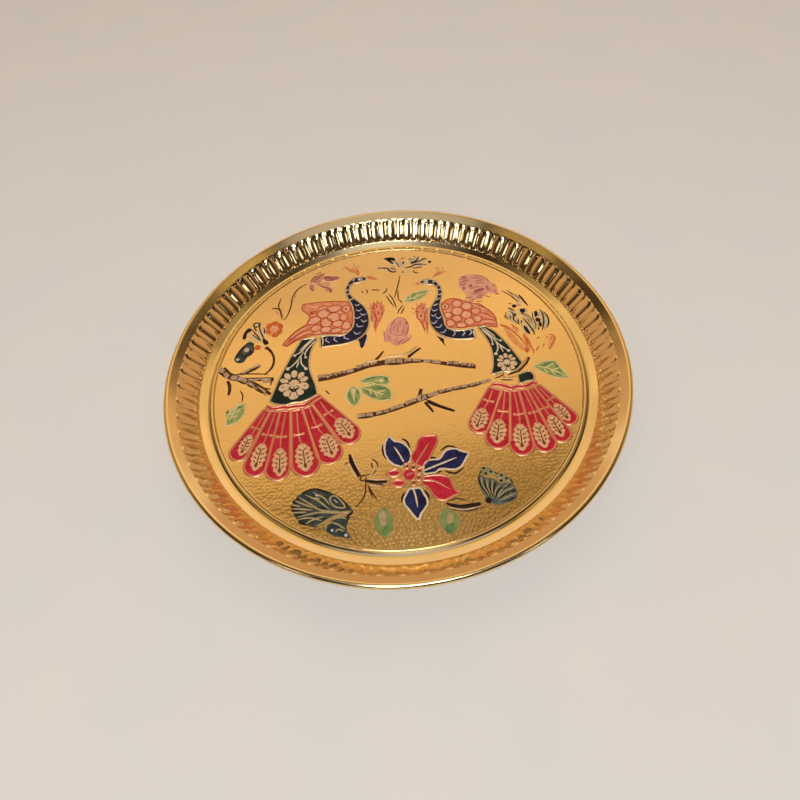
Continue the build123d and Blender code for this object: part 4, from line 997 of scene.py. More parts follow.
branches = {
    "branchCells": {
        "material": "tanEnamel", "slot": "brown_enamel", "top": 1.04,
        "fills": branchCells},
    "branchBark": {
        "material": "barkEnamel", "slot": "brown_enamel", "top": 1.07, "width": 0.8, "taper": (0.8, 0.8),
        "lines": [
            [(-95.4, 8.2), (-94.0, 4.0), (-94.0, -2.6)], [(-94.6, 9.4), (-92.6, 8.0)],
            [(-35.8, 3.8), (-35.0, 6.2)], [(-30.8, 4.8), (-30.0, 7.0)], [(-18.8, 8.0), (-18.0, 10.4)],
            [(0.6, 8.8), (1.0, 12.4)], [(9.6, 8.6), (9.8, 11.2)], [(32.0, 4.0), (32.6, 6.4)],
            [(40.2, 2.2), (40.8, 4.2)], [(42.4, 1.4), (43.2, 3.4)], [(-18.4, -26.0), (-18.0, -23.4)],
            [(-9.2, -24.8), (-8.8, -22.2)], [(26.0, -14.4), (26.4, -12.2)],
            [(34.6, -13.2), (34.8, -11.0)], [(12.4, -18.2), (13.0, -14.6)]]},
    # painted highlights: pale brass strokes on the branches and above the twig
    "branchPaintedHighlights": {
        "material": "creamBrass", "slot": "polished_brass", "top": 1.06, "width": 1.1,
        "lines": [
            [(-17.2, 11.8), (-13.4, 12.2), (-9.0, 12.4)], [(-13.6, 9.2), (-12.3, 11.4)],
            [(-38.9, 3.2), (-37.6, 4.6)], [(-36.2, 4.8), (-35.0, 3.4)],
            [(-8.0, 14.5), (6.0, 15.0), (13.6, 19.9)], [(7.6, 10.4), (9.0, 10.2)],
            [(11.4, -18.0), (12.6, -16.6)], [(-68.6, 3.4), (-75.0, 4.4)], [(-80.0, 7.4), (-72.0, 7.0)],
            [(53.4, -6.7), (57.0, -5.4), (60.4, -2.5)],
            [(59.0, -6.0), (59.6, -8.4), (62.4, -8.8), (66.0, -8.0)],
            [(61.4, -5.8), (67.0, -3.6), (71.0, 0.4), (74.4, 4.4)]]},
    "branchDark": {
        "material": "barkEnamel", "slot": "brown_enamel", "top": 1.09, "width": 0.85,
        "lines": [
            [(61.2, -6.9), (66.0, -5.6), (69.6, -3.9), (75.6, 4.2)],
            [(54.0, -8.2), (58.0, -7.0), (59.8, -5.0)], [(57.0, -9.6), (63.6, -10.6)],
            [(-95.0, 11.0), (-88.4, 11.8), (-79.6, 11.0), (-72.4, 9.8)],
            [(-86.0, 8.6), (-77.0, 7.6), (-69.0, 7.0)], [(-87.8, 0.4), (-86.0, -3.6), (-86.2, -8.0)],
            [(-70.6, 1.6), (-69.8, 6.6)], [(-80.6, 4.0), (-72.6, -5.2)], [(-75.0, 0.6), (-70.4, -1.0)],
            [(-39.8, -5.4), (-37.6, -8.2)]]},
    # painted shade: heavy dark strokes along the lower edge of each bark cell
    "branchShade": {
        "material": "barkEnamel", "slot": "brown_enamel", "top": 1.085, "width": 1.3,
        "lines": [
            [(-43.6, 3.2), (-38.8, 3.4)], [(-37.4, 3.6), (-33.6, 4.2)], [(-32.2, 4.4), (-28.6, 5.2)],
            [(-21.6, 7.2), (-15.2, 8.8)], [(-4.8, 9.2), (-0.6, 8.8), (3.8, 8.8)],
            [(5.6, 9.2), (14.4, 8.0)], [(29.4, 4.6), (35.4, 3.2)],
            [(37.4, 2.8), (43.0, 0.9), (44.8, 2.6)], [(-22.6, -26.0), (-14.6, -25.8)],
            [(-12.4, -25.3), (-6.0, -24.0)], [(-4.6, -23.6), (2.4, -21.5)], [(4.0, -20.9), (9.4, -18.8)],
            [(22.8, -14.9), (29.6, -13.6)], [(30.8, -13.4), (38.4, -12.6)],
            [(40.0, -12.4), (45.0, -11.4)], [(-100.8, 14.8), (-97.2, 10.8)], [(-89.6, 7.4), (-85.2, 4.4)],
            [(-84.2, 4.0), (-80.4, 1.2)], [(-79.6, 0.6), (-74.4, -3.4)], [(-87.2, 11.2), (-77.8, 16.2)]]},
    "thickTwigInk": {
        "material": "blackEnamel", "slot": "brown_enamel", "top": 1.10, "width": 2.0, "taper": (0.4, 0.7),
        "lines": [
            [(-28.0, -47.8), (-26.4, -54.0), (-23.6, -60.4)],
            [(-20.0, -63.9), (-15.0, -65.3), (-9.8, -65.5)],
            [(18.4, -80.4), (25.0, -82.8), (34.8, -82.2)], [(15.2, -19.6), (20.6, -22.6), (29.2, -27.2)]]},
    "twigLight": {
        "material": "sandEnamel", "slot": "polished_brass", "top": 1.07, "width": 0.8,
        "lines": [
            [(-26.4, -48.0), (-24.6, -54.4), (-21.8, -59.8)],
            [(-18.6, -62.8), (-13.6, -64.0), (-9.6, -64.0)],
            [(-29.0, -52.4), (-27.0, -57.4), (-24.8, -61.6)],
            [(19.4, -82.6), (26.0, -84.6), (34.6, -83.9)],
            [(-20.4, -62.0), (-18.2, -61.2), (-15.8, -59.0), (-15.6, -54.4)],
            [(-18.8, -66.6), (-12.0, -67.8)]]},
    "twigInk": {
        "material": "blackEnamel", "slot": "brown_enamel", "top": 1.08, "width": 1.3,
        "lines": [
            [(7.6, 12.2), (11.0, 15.2), (15.2, 18.6)], [(14.2, -17.4), (20.0, -22.2), (29.3, -27.4)],
            [(14.2, -19.4), (16.0, -22.6), (18.2, -26.6)],
            [(-27.9, -47.8), (-26.2, -54.0), (-23.4, -61.4)],
            [(-20.2, -64.2), (-15.0, -65.5), (-9.6, -65.6)],
            [(18.6, -80.6), (25.0, -83.0), (34.8, -82.2)]]},
}

# Leaves and buds: pale veins through green, and a pale line round each
leaves = {
    "leafEdges": {
        "material": "paleOliveEnamel", "slot": "leaf_green_enamel", "top": 1.07, "width": 1.0,
        "outwards": 0.5,
        "edgesOf": [
            "small_leaf_enamel", "large_leaf_enamel", "left_leaf_enamel", "right_leaf_enamel",
            "sprig_leaf_enamel"],
        "lines": [
            [(-19.8, -3.4), (-14.6, -3.0), (-10.6, -4.8), (-5.6, -5.2)],
            [(-18.8, -6.6), (-14.0, -8.4), (-9.6, -11.2), (-7.0, -12.4)], [(-15.6, -7.6), (-14.6, -11.4)],
            [(-12.6, -9.2), (-11.4, -13.0)], [(-10.8, -9.8), (-6.4, -9.2)], [(-12.4, -2.0), (-8.4, -2.4)],
            [(-24.4, -8.8), (-24.0, -15.2)], [(-87.4, -8.0), (-89.8, -13.0), (-92.2, -20.2)],
            [(-89.6, -12.4), (-93.4, -11.6)], [(-90.4, -15.4), (-94.2, -15.2)],
            [(-89.2, -14.4), (-86.2, -12.0)], [(-90.6, -17.4), (-87.8, -16.8)],
            [(78.2, -2.9), (84.0, -4.6), (92.8, -11.2)], [(83.0, -4.4), (88.2, -1.6)],
            [(86.2, -6.0), (91.0, -5.4)], [(82.0, -4.8), (83.6, -8.2)], [(85.4, -5.8), (87.6, -9.8)],
            [(9.6, 56.6), (16.0, 58.8), (24.0, 62.2)], [(12.2, 57.8), (13.6, 60.6)],
            [(16.4, 59.0), (18.0, 61.4)], [(14.4, 58.2), (17.4, 57.0)]],
        "dots": [(-8.4, -2.2, 1.3), (-24.3, -7.4, 1.5), (-24.3, -9.2, 1.0)]},
    "leafPatches": {
        "material": "darkGreenEnamel", "slot": "leaf_green_enamel", "top": 1.03, "width": 1.7,
        "taper": (0.4, 0.3),
        "lines": [
            [(-17.4, -0.6), (-13.0, 0.6), (-8.6, 0.8)], [(-6.6, 0.4), (-5.2, -2.4)],
            [(-11.6, -7.0), (-8.0, -7.8), (-5.4, -7.2)], [(-8.6, -13.2), (-5.6, -11.0)],
            [(-17.2, -8.2), (-15.0, -10.8), (-12.4, -12.8)], [(-27.2, -6.8), (-26.4, -11.6)],
            [(-23.0, -12.4), (-24.2, -15.4)], [(-22.0, -6.2), (-21.8, -9.8)],
            [(-93.8, -12.4), (-93.6, -17.2)], [(-92.4, -20.4), (-90.4, -19.0)],
            [(-87.2, -10.2), (-86.2, -13.6)], [(79.8, -3.4), (84.0, -2.0), (88.0, -0.8)],
            [(86.4, -7.8), (91.4, -10.4)], [(89.2, -3.4), (91.4, -7.4)]]},
    "leafShade": {
        "material": "darkGreenEnamel", "slot": "leaf_green_enamel", "top": 1.05, "width": 0.8,
        "lines": [
            [(-18.4, -8.6), (-16.4, -12.0), (-12.0, -14.8), (-5.6, -14.8)],
            [(-19.0, -1.2), (-13.0, 0.4), (-6.0, 0.2)], [(-5.2, -7.4), (-5.0, -14.0)],
            [(-27.0, -8.4), (-25.0, -14.4)], [(-93.6, -18.4), (-92.6, -21.4)],
            [(88.0, -1.2), (90.6, -4.6), (93.0, -10.6)], [(11.0, 58.4), (13.0, 60.0)],
            [(20.0, 61.2), (23.4, 62.6)]],
        "fills": [oval(-11.8, -91.6, 2.6, 1.5, 70), oval(18.6, -93.4, 2.8, 2.0, 70)]},
}

# Flowers in line: lotus, bud and blossom strokes
flowers = {
    "topLotusInk": {
        "material": "blackEnamel", "slot": "grey_enamel", "top": 1.09, "width": 1.15,
        "dots": [(28.1, 88.4, 1.0)],
        "fills": [
            [(-1.0, 95.4), (0.4, 94.0), (2.0, 91.8), (4.4, 89.6), (5.2, 90.2), (3.4, 92.2), (2.2, 94.3),
            (4.4, 94.9), (6.0, 92.4), (6.3, 94.4), (4.4, 95.8), (1.4, 95.9)]],
        "lines": [
            [(-5.2, 87.4), (-2.4, 86.8), (0.8, 86.2), (1.8, 84.2), (3.6, 82.6), (5.6, 82.4), (6.4, 83.6)],
            [(11.3, 91.3), (11.3, 88.3)], [(21.4, 94.4), (20.8, 92.2), (19.2, 90.4), (15.6, 89.0)],
            [(26.4, 90.8), (24.8, 92.0), (23.0, 90.6), (20.6, 89.6), (16.4, 88.4)],
            [(25.8, 86.3), (22.8, 86.9), (18.6, 87.0), (15.4, 85.7), (12.2, 84.9)]]},
    "topLotusBrown": {
        "material": "barkEnamel", "slot": "brown_enamel", "top": 1.07, "width": 0.8,
        "dots": [(10.4, 81.6, 0.6)],
        "lines": [
            [(6.4, 92.0), (7.6, 88.8), (8.6, 86.2)], [(10.0, 93.8), (12.2, 94.2)],
            [(14.6, 92.4), (16.6, 93.4)], [(18.7, 95.2), (18.9, 93.4)],
            [(22.8, 84.5), (18.8, 84.0), (16.6, 84.6)], [(2.4, 85.9), (4.6, 85.4), (6.0, 84.0)],
            [(16.8, 82.4), (17.8, 80.2), (20.2, 79.4)], [(16.0, 91.0), (18.4, 92.6)]]},
    "topLotusPale": {
        "material": "lilacEnamel", "slot": "mauve_enamel", "top": 1.05, "width": 0.85,
        "lines": [
            [(2.8, 94.0), (4.6, 91.4), (5.8, 90.2)], [(12.0, 83.6), (13.0, 81.0)],
            [(14.2, 83.4), (15.0, 80.6)], [(2.4, 87.4), (4.6, 86.6), (6.6, 86.8)],
            [(2.8, 84.6), (5.0, 83.8)], [(8.6, 94.4), (9.4, 91.0), (9.8, 87.6)],
            [(24.8, 89.2), (20.8, 88.3), (17.2, 87.6)], [(22.8, 85.8), (18.8, 85.6)]]},
    "topLotusCream": {
        "material": "greyCreamEnamel", "slot": "polished_brass", "top": 1.06, "width": 0.75,
        "lines": [
            [(6.8, 95.4), (7.8, 91.0), (9.4, 86.6)],
            [(9.8, 90.2), (10.3, 87.8), (11.4, 86.8), (12.6, 88.2), (12.7, 91.0)],
            [(13.4, 95.4), (13.2, 91.0), (12.8, 88.4)], [(17.0, 94.8), (16.0, 91.6), (13.8, 88.6)],
            [(20.2, 94.2), (18.6, 91.6), (15.4, 89.8)], [(8.0, 84.8), (8.6, 81.6), (8.4, 79.4)],
            [(22.2, 92.2), (20.6, 90.8)], [(12.2, 86.2), (9.6, 85.4)]]},
    "topLotusStem": {
        "material": "barkEnamel", "slot": "brown_enamel", "top": 1.06, "width": 0.85,
        "lines": [
            [(8.3, 78.6), (6.8, 72.0), (5.2, 66.0), (3.4, 59.8)], [(0.2, 63.4), (2.4, 58.8), (4.1, 51.0)],
            [(-1.6, 62.4), (0.0, 58.6), (2.6, 52.6)], [(8.2, 53.2), (5.6, 49.6), (4.4, 46.6)],
            [(8.9, 51.4), (7.6, 48.6), (6.2, 46.2)], [(-13.8, 69.2), (-12.9, 67.6), (-13.2, 65.8)],
            [(-0.6, 68.6), (-1.4, 66.2), (-3.6, 64.4)], [(-10.2, 68.6), (-5.0, 67.6)],
            [(6.0, 66.0), (5.6, 58.0)], [(5.8, 58.4), (7.8, 55.2)], [(-16.2, 68.4), (-15.8, 66.4)]]},
    "greenBudGold": {
        "material": "paleTealEnamel", "slot": "leaf_green_enamel", "top": 1.05,
        "fills": [oval(-13.0, -84.8, 4.4, 1.9, 95), oval(19.3, -88.4, 3.4, 1.6, 80)]},
    "pinkBudFlush": {
        "material": "blushEnamel", "slot": "pink_enamel", "top": 1.03,
        "fills": [
            [(3.6, 43.2), (0.8, 40.2), (-0.9, 36.0), (-0.7, 31.6), (2.0, 28.6), (6.8, 28.0), (9.4, 30.8),
            (10.3, 36.0), (9.0, 41.0), (6.4, 43.4)],
            [(2.8, 27.2), (6.0, 28.2), (10.8, 26.8), (8.4, 24.2), (4.6, 22.4), (0.4, 22.8)],
            [(-4.9, 33.8), (-2.4, 33.0), (-0.8, 30.6), (-1.2, 26.6), (-3.0, 25.0), (-4.8, 27.4)]]},
    "pinkBudStripes": {
        "material": "rosePinkEnamel", "slot": "pink_enamel", "top": 1.06, "width": 0.85,
        "lines": [
            [(3.0, 42.0), (0.7, 39.0), (-0.4, 36.0), (-1.1, 33.4), (-0.2, 30.8)],
            [(3.5, 39.3), (1.7, 36.0), (0.9, 32.4)], [(4.4, 38.6), (3.5, 35.0), (3.2, 31.4)],
            [(5.4, 41.6), (5.1, 36.0)], [(8.6, 41.6), (9.8, 38.0), (9.8, 34.0), (8.4, 29.0)],
            [(7.7, 36.6), (6.5, 32.0), (5.3, 28.6)], [(9.2, 35.0), (8.4, 31.6), (7.0, 29.0)],
            [(-4.7, 33.0), (-4.7, 29.0), (-4.4, 25.6)], [(-2.9, 31.2), (-2.0, 28.2), (-2.4, 25.6)],
            [(2.8, 26.6), (0.6, 23.4)], [(10.6, 26.2), (7.8, 24.7), (5.2, 22.6)],
            [(10.0, 28.8), (11.1, 27.6)], [(1.0, 31.0), (3.4, 29.4), (6.0, 29.2)]]},
    "pinkBudPlum": {
        "material": "plumEnamel", "slot": "mauve_enamel", "top": 1.08, "width": 1.0,
        "lines": [
            [(6.4, 26.0), (3.8, 24.3), (2.6, 22.2)], [(2.2, 41.2), (0.6, 38.6)],
            [(9.0, 39.6), (8.8, 37.2)]]},
    "mauveLotusFlush": {
        "material": "rosewoodEnamel", "slot": "mauve_enamel", "top": 1.04, "width": 1.2,
        "dots": [(-47.0, 76.6, 1.2), (-46.4, 74.4, 0.9)],
        "lines": [
            [(-48.4, 80.0), (-46.4, 82.6), (-43.0, 84.4)], [(-45.6, 79.2), (-42.8, 79.5)],
            [(-39.2, 78.8), (-35.8, 77.4)], [(-38.8, 76.6), (-36.0, 75.8)],
            [(-39.4, 72.6), (-37.0, 70.9)], [(-42.0, 81.4), (-40.4, 83.4), (-40.2, 85.4)],
            [(-42.2, 88.8), (-41.4, 87.4)], [(-47.0, 80.6), (-43.0, 78.6), (-38.4, 77.0)],
            [(-44.6, 86.0), (-41.8, 88.4)], [(-45.2, 77.6), (-41.2, 77.6)]]},
    "mauveLotusPetals": {
        "material": "rosewoodEnamel", "slot": "mauve_enamel", "top": 1.03,
        "fills": [
            [(-49.0, 79.4), (-46.8, 83.2), (-42.6, 85.8), (-39.8, 87.2), (-41.4, 84.0), (-44.0, 81.6),
            (-46.6, 79.6)], [(-49.2, 77.6), (-47.2, 78.2), (-45.8, 75.6), (-46.4, 72.8), (-48.4, 74.4)],
            [(-45.2, 80.2), (-42.6, 82.2), (-40.2, 82.4), (-41.4, 80.0), (-43.4, 79.0)]]},
    "mauveLotusPlum": {
        "material": "plumEnamel", "slot": "mauve_enamel", "top": 1.06,
        "fills": [
            [(-39.8, 84.0), (-35.0, 83.8), (-30.2, 82.6), (-30.6, 81.0), (-33.0, 80.2), (-36.0, 79.5),
            (-38.4, 80.4), (-39.5, 82.0)], [(-43.4, 77.2), (-40.0, 75.8), (-37.2, 74.6), (-35.0, 72.6),
            (-34.9, 70.2), (-36.5, 71.2), (-38.4, 73.4), (-41.2, 75.2)]]},
    "mauveLotusLines": {
        "material": "umberEnamel", "slot": "mauve_enamel", "top": 1.08, "width": 0.85,
        "lines": [
            [(-48.2, 81.4), (-45.6, 84.6), (-41.6, 85.3), (-39.4, 87.0)],
            [(-45.9, 81.0), (-43.2, 82.8), (-41.5, 83.7)], [(-48.6, 75.2), (-46.4, 72.0)],
            [(-39.4, 83.4), (-35.6, 83.3)], [(-43.0, 76.8), (-39.6, 75.0)],
            [(-36.2, 71.4), (-35.6, 69.4)]]},
    "mauveLotusGlint": {
        "material": "softCoralEnamel", "slot": "pink_enamel", "top": 1.08,
        "dots": [(-37.4, 81.2, 0.75)]},
    "mauveLotusStem": {
        "material": "barkEnamel", "slot": "brown_enamel", "top": 1.06, "width": 0.95,
        "lines": [
            [(-50.6, 79.2), (-56.0, 75.4), (-59.4, 69.0), (-60.4, 61.0), (-62.4, 53.6), (-64.6, 50.3)],
            [(-66.5, 68.6), (-68.0, 62.6), (-66.6, 56.6), (-65.6, 50.8)],
            [(-72.2, 60.4), (-69.6, 60.6), (-67.6, 59.0)], [(-48.4, 53.8), (-46.0, 53.2)]]},
    "mauveLotusStemLight": {
        "material": "creamBrass", "slot": "polished_brass", "top": 1.05, "width": 1.0,
        "lines": [
            [(-66.4, 60.0), (-65.6, 55.0), (-64.8, 51.8)], [(-57.6, 71.0), (-58.8, 64.0)],
            [(-69.6, 58.6), (-67.8, 54.8)]]},
    "pinkLotusFlush": {
        "material": "rosewoodEnamel", "slot": "pink_enamel", "top": 1.04, "width": 1.6,
        "lines": [
            [(44.6, 70.0), (47.4, 70.4), (49.8, 69.6)], [(44.2, 67.4), (50.0, 67.8)],
            [(45.2, 65.0), (48.8, 66.0)], [(51.8, 70.6), (56.8, 69.8), (60.0, 67.2)],
            [(53.2, 67.4), (58.4, 67.2)], [(50.2, 61.6), (56.4, 62.6)], [(50.0, 57.0), (57.0, 56.4)],
            [(48.0, 52.4), (52.6, 52.2)], [(61.0, 62.0), (62.2, 57.4)], [(63.6, 58.4), (66.4, 56.4)],
            [(45.4, 63.2), (47.6, 63.6)], [(53.4, 54.8), (57.6, 54.6)]]},
    "pinkLotusLines": {
        "material": "plumEnamel", "slot": "mauve_enamel", "top": 1.06, "width": 0.8,
        "dots": [(50.9, 63.8, 1.2), (46.6, 62.0, 0.9), (64.8, 61.8, 0.6)],
        "fills": [oval(55.4, 59.3, 3.8, 1.4, 18), oval(48.0, 71.6, 1.9, 0.8, -12)],
        "lines": [
            [(54.2, 72.8), (59.6, 70.6), (62.8, 65.8)], [(53.6, 65.2), (57.0, 65.6), (60.0, 65.0)],
            [(46.4, 54.0), (51.0, 54.2)], [(47.8, 50.8), (51.0, 50.6)], [(52.6, 53.4), (56.4, 53.0)],
            [(52.4, 50.4), (56.0, 50.2)], [(46.0, 68.8), (50.4, 68.8)], [(58.2, 54.4), (61.0, 53.2)],
            [(64.4, 55.2), (67.4, 54.8)], [(44.2, 66.2), (47.0, 64.4)], [(60.6, 63.4), (60.4, 58.6)]]},
    "orangeBlossomPetals": {
        "material": "burntOrangeEnamel", "slot": "orange_enamel", "top": 1.05,
        "fills": [oval(*petal) for petal in (
            (-73.2, 46.4, 2.4, 1.7, 60), (-69.6, 48.2, 2.3, 1.7, 0), (-66.5, 45.4, 2.3, 1.7, 110),
            (-66.8, 41.2, 2.2, 1.6, 60), (-69.4, 38.8, 2.1, 1.7, 0), (-73.4, 42.2, 2.3, 1.6, 110))],
        "dots": [(-79.4, 30.4, 1.9)]},
    "orangeBlossomHeart": {
        "material": "lightCoralEnamel", "slot": "orange_enamel", "top": 1.06, "width": 0.8,
        "dots": [(-70.2, 44.0, 1.9)],
        "lines": [
            [(-72.6, 44.4), (-71.6, 41.2)], [(-68.4, 46.2), (-67.8, 43.0)],
            [(-70.0, 46.8), (-71.8, 46.0)]]},
    "orangeBlossomMarks": {
        "material": "burntOrangeEnamel", "slot": "orange_enamel", "top": 1.09, "width": 0.55,
        "lines": [[(-71.2, 44.6), (-70.0, 43.2), (-69.2, 44.2)], [(-70.4, 45.4), (-69.6, 45.2)]]},
    "blueBlossomInk": {
        "material": "blackEnamel", "slot": "grey_enamel", "top": 1.08, "width": 0.95,
        "rings": [oval(-80.9, 48.3, 1.8, 1.7, 0)],
        "fills": [
            [(-88.8, 38.4), (-88.0, 43.0), (-85.8, 46.2), (-83.6, 45.2), (-84.0, 43.8), (-86.2, 42.2),
            (-86.8, 38.2)], [(-76.4, 37.0), (-74.4, 35.6), (-73.0, 33.4), (-74.6, 31.6), (-76.4, 33.8)]],
        "lines": [
            [(-83.4, 44.6), (-80.4, 40.2), (-77.6, 35.6)],
            [(-78.6, 49.8), (-78.8, 45.0), (-77.0, 39.4), (-75.2, 35.4)],
            [(-83.6, 41.6), (-80.8, 38.4), (-78.2, 35.6)], [(-82.4, 46.6), (-80.6, 43.2)],
            [(-76.2, 45.4), (-75.6, 40.6)], [(-91.8, 25.0), (-88.6, 30.8), (-84.6, 34.8), (-81.4, 33.2)],
            [(-86.8, 24.8), (-83.0, 26.4), (-81.8, 29.6)]]},
    "blueBlossomPale": {
        "material": "greyCreamEnamel", "slot": "polished_brass", "top": 1.07, "width": 0.85,
        "dots": [(-80.9, 48.3, 0.9), (-85.8, 29.4, 1.7), (-90.6, 22.8, 1.0)],
        "lines": [
            [(-85.6, 43.6), (-81.4, 38.4), (-77.0, 34.4)], [(-85.0, 40.0), (-81.0, 36.8), (-78.2, 34.6)],
            [(-80.2, 46.0), (-79.4, 41.4), (-76.6, 35.8)], [(-77.2, 48.4), (-76.8, 43.0), (-74.8, 37.2)],
            [(-87.6, 36.4), (-85.0, 36.6), (-82.4, 34.6)], [(-75.6, 36.0), (-74.4, 34.0)],
            [(-73.8, 32.2), (-76.2, 31.0)]]},
    "blueBudMark": {
        "material": "rosewoodEnamel", "slot": "brown_enamel", "top": 1.09, "width": 0.5,
        "rings": [oval(-85.8, 29.4, 1.1, 1.0, 0)],
        "lines": [[(-83.4, 31.4), (-82.4, 28.6)], [(-88.0, 27.4), (-86.4, 26.4)]]},
    "blueBlossomStem": {
        "material": "barkEnamel", "slot": "brown_enamel", "top": 1.07, "width": 1.5, "taper": (0.9, 0.4),
        "lines": [[(-74.2, 30.4), (-71.2, 26.4), (-69.4, 20.4), (-70.4, 14.4), (-74.6, 9.6)]]},
    "greyLotusInk": {
        "material": "blackEnamel", "slot": "grey_enamel", "top": 1.08, "width": 1.0,
        "dots": [(74.2, 43.7, 1.3), (78.4, 39.4, 1.7), (73.4, 36.6, 0.9)],
        "fills": [
            [(77.0, 27.6), (78.4, 26.4), (79.4, 23.0), (79.4, 20.8), (77.6, 22.6), (76.6, 25.4)],
            [(85.6, 38.2), (86.9, 37.0), (86.6, 34.8), (85.2, 33.4), (84.6, 35.0)],
            [(85.0, 32.6), (87.2, 31.9), (87.4, 30.4), (86.0, 29.5), (84.6, 30.4)],
            [(86.8, 29.8), (87.6, 27.6), (86.8, 25.6), (85.6, 26.4), (85.8, 28.4)]],
        "lines": [
            [(78.8, 52.4), (80.6, 48.0), (82.4, 43.0)], [(78.5, 52.0), (80.2, 48.0), (82.0, 43.6)],
            [(70.4, 42.6), (73.8, 40.0)], [(70.3, 36.4), (70.4, 34.0)],
            [(71.4, 39.8), (72.6, 37.0), (72.0, 33.0), (73.4, 30.4)],
            [(75.0, 33.0), (74.2, 30.6), (74.6, 28.8)], [(76.8, 32.2), (75.8, 29.8)],
            [(77.6, 33.4), (79.8, 28.6), (81.6, 23.0), (81.8, 20.0)], [(78.2, 38.4), (78.1, 36.6)],
            [(88.6, 39.0), (89.6, 35.0), (89.2, 30.0), (88.0, 26.0), (86.8, 23.0)],
            [(90.4, 37.0), (92.0, 33.0), (91.8, 28.6), (90.0, 24.4)], [(85.6, 25.4), (84.4, 23.4)]]},
    "greyLotusThin": {
        "material": "barkEnamel", "slot": "brown_enamel", "top": 1.07, "width": 0.65,
        "lines": [
            [(69.0, 57.2), (72.5, 53.6), (75.6, 50.0)], [(72.0, 57.0), (76.0, 52.6)],
            [(76.5, 53.4), (78.5, 49.0)], [(68.4, 39.5), (68.2, 36.0), (69.2, 33.0)],
            [(77.0, 37.2), (80.0, 35.6), (82.0, 32.5), (82.2, 29.4)],
            [(84.0, 38.0), (83.4, 33.0), (84.0, 27.4), (83.2, 24.2)], [(75.4, 44.4), (77.4, 43.6)],
            [(67.2, 37.4), (67.6, 34.2)], [(74.0, 51.4), (77.4, 46.8)], [(80.0, 32.6), (81.0, 30.0)],
            [(71.0, 46.0), (73.0, 46.2)]]},
    "greyLotusPale": {
        "material": "greyCreamEnamel", "slot": "polished_brass", "top": 1.06, "width": 0.9,
        "lines": [
            [(77.4, 30.6), (79.6, 25.6), (80.5, 21.0)], [(76.4, 27.0), (76.6, 23.4), (78.6, 20.4)],
            [(88.0, 37.4), (88.4, 32.0), (87.8, 28.4)], [(90.6, 35.4), (90.6, 29.4), (89.0, 24.8)],
            [(85.2, 29.0), (84.6, 26.6)], [(74.8, 39.4), (74.4, 35.4), (73.6, 32.6)],
            [(70.0, 40.6), (70.8, 38.0), (69.6, 34.6)], [(75.6, 41.4), (76.8, 38.6), (76.2, 35.4)],
            [(71.0, 33.4), (72.6, 30.6)], [(76.0, 34.6), (77.0, 33.4)], [(72.6, 44.8), (75.8, 44.8)],
            [(84.8, 37.8), (84.2, 34.0)]]},
    "greyLotusFlush": {
        "material": "lilacEnamel", "slot": "mauve_enamel", "top": 1.05, "width": 1.3,
        "lines": [
            [(73.6, 54.4), (77.0, 49.6), (79.4, 45.4)], [(79.0, 35.0), (80.6, 31.4)],
            [(79.8, 41.6), (81.4, 38.6)], [(76.2, 47.0), (78.4, 43.4)], [(87.2, 35.0), (87.6, 33.2)]]},
    "orangePetalLines": {
        "material": "burntOrangeEnamel", "slot": "orange_enamel", "top": 1.06, "width": 0.9,
        "fills": [oval(75.3, 9.6, 2.0, 1.1, 85)],
        "lines": [
            [(65.6, 28.6), (70.0, 24.0), (73.4, 18.0), (74.6, 13.6)], [(70.0, 29.6), (73.4, 25.0)],
            [(75.6, 21.4), (76.4, 16.6), (76.0, 12.0)],
            [(76.6, 19.0), (77.6, 14.0), (78.8, 9.0), (78.4, 6.4)],
            [(89.8, 19.4), (92.0, 18.6), (92.8, 16.0), (90.4, 12.4), (88.0, 8.2)],
            [(90.0, 15.4), (91.4, 17.4)], [(82.2, 17.0), (84.3, 17.9)], [(80.0, 8.0), (82.5, 11.4)],
            [(84.6, 10.6), (86.0, 13.0)], [(63.4, 29.8), (68.0, 27.2)], [(88.6, 18.4), (88.2, 16.4)]]},
    "orangePetalWash": {
        "material": "orangeEnamel", "slot": "orange_enamel", "top": 1.04, "width": 2.2,
        "lines": [
            [(64.0, 30.4), (68.4, 26.6), (72.0, 22.2)], [(75.6, 20.8), (75.8, 15.0), (75.2, 9.0)],
            [(91.6, 17.6), (90.6, 13.6), (88.6, 9.6)], [(70.4, 28.0), (73.4, 23.6)]]},
    "bottomLotusBody": {
        "material": "smokyEnamel", "slot": "grey_enamel", "top": 1.03,
        "fills": [
            [(41.4, -83.4), (38.4, -79.6), (36.2, -74.6), (35.6, -68.6), (37.0, -66.6), (39.6, -68.6),
            (43.4, -69.6), (46.2, -72.6), (50.8, -72.4), (53.0, -75.2), (53.4, -79.4), (51.0, -82.2),
            (46.4, -83.6)]]},
    "bottomLotusPod": {
        "material": "oliveEnamel", "slot": "grey_enamel", "top": 1.05,
        "fills": [oval(40.7, -65.2, 4.0, 2.3, -28), oval(48.0, -69.8, 4.2, 2.3, -32)]},
    "bottomLotusInk": {
        "material": "blackEnamel", "slot": "grey_enamel", "top": 1.08, "width": 0.8,
        "dots": [
            (39.4, -63.3, 0.75), (42.6, -65.6, 0.75), (40.0, -66.3, 0.75), (47.4, -68.2, 0.75),
            (49.7, -70.1, 0.75), (46.9, -71.0, 0.75), (39.0, -81.0, 1.6), (52.0, -77.2, 0.7)],
        "lines": [
            [(36.2, -66.8), (36.4, -72.0), (39.0, -78.0)], [(38.6, -69.4), (38.8, -74.0), (40.6, -78.6)],
            [(41.6, -69.8), (40.8, -74.4), (41.4, -79.0)], [(44.6, -71.0), (42.6, -75.0), (42.0, -79.4)],
            [(47.4, -74.4), (44.2, -76.8), (42.4, -80.4)], [(51.6, -73.2), (48.2, -75.2), (46.6, -75.4)],
            [(52.8, -76.6), (47.6, -78.6), (44.0, -80.8)], [(53.0, -80.4), (48.6, -82.0), (45.0, -82.4)],
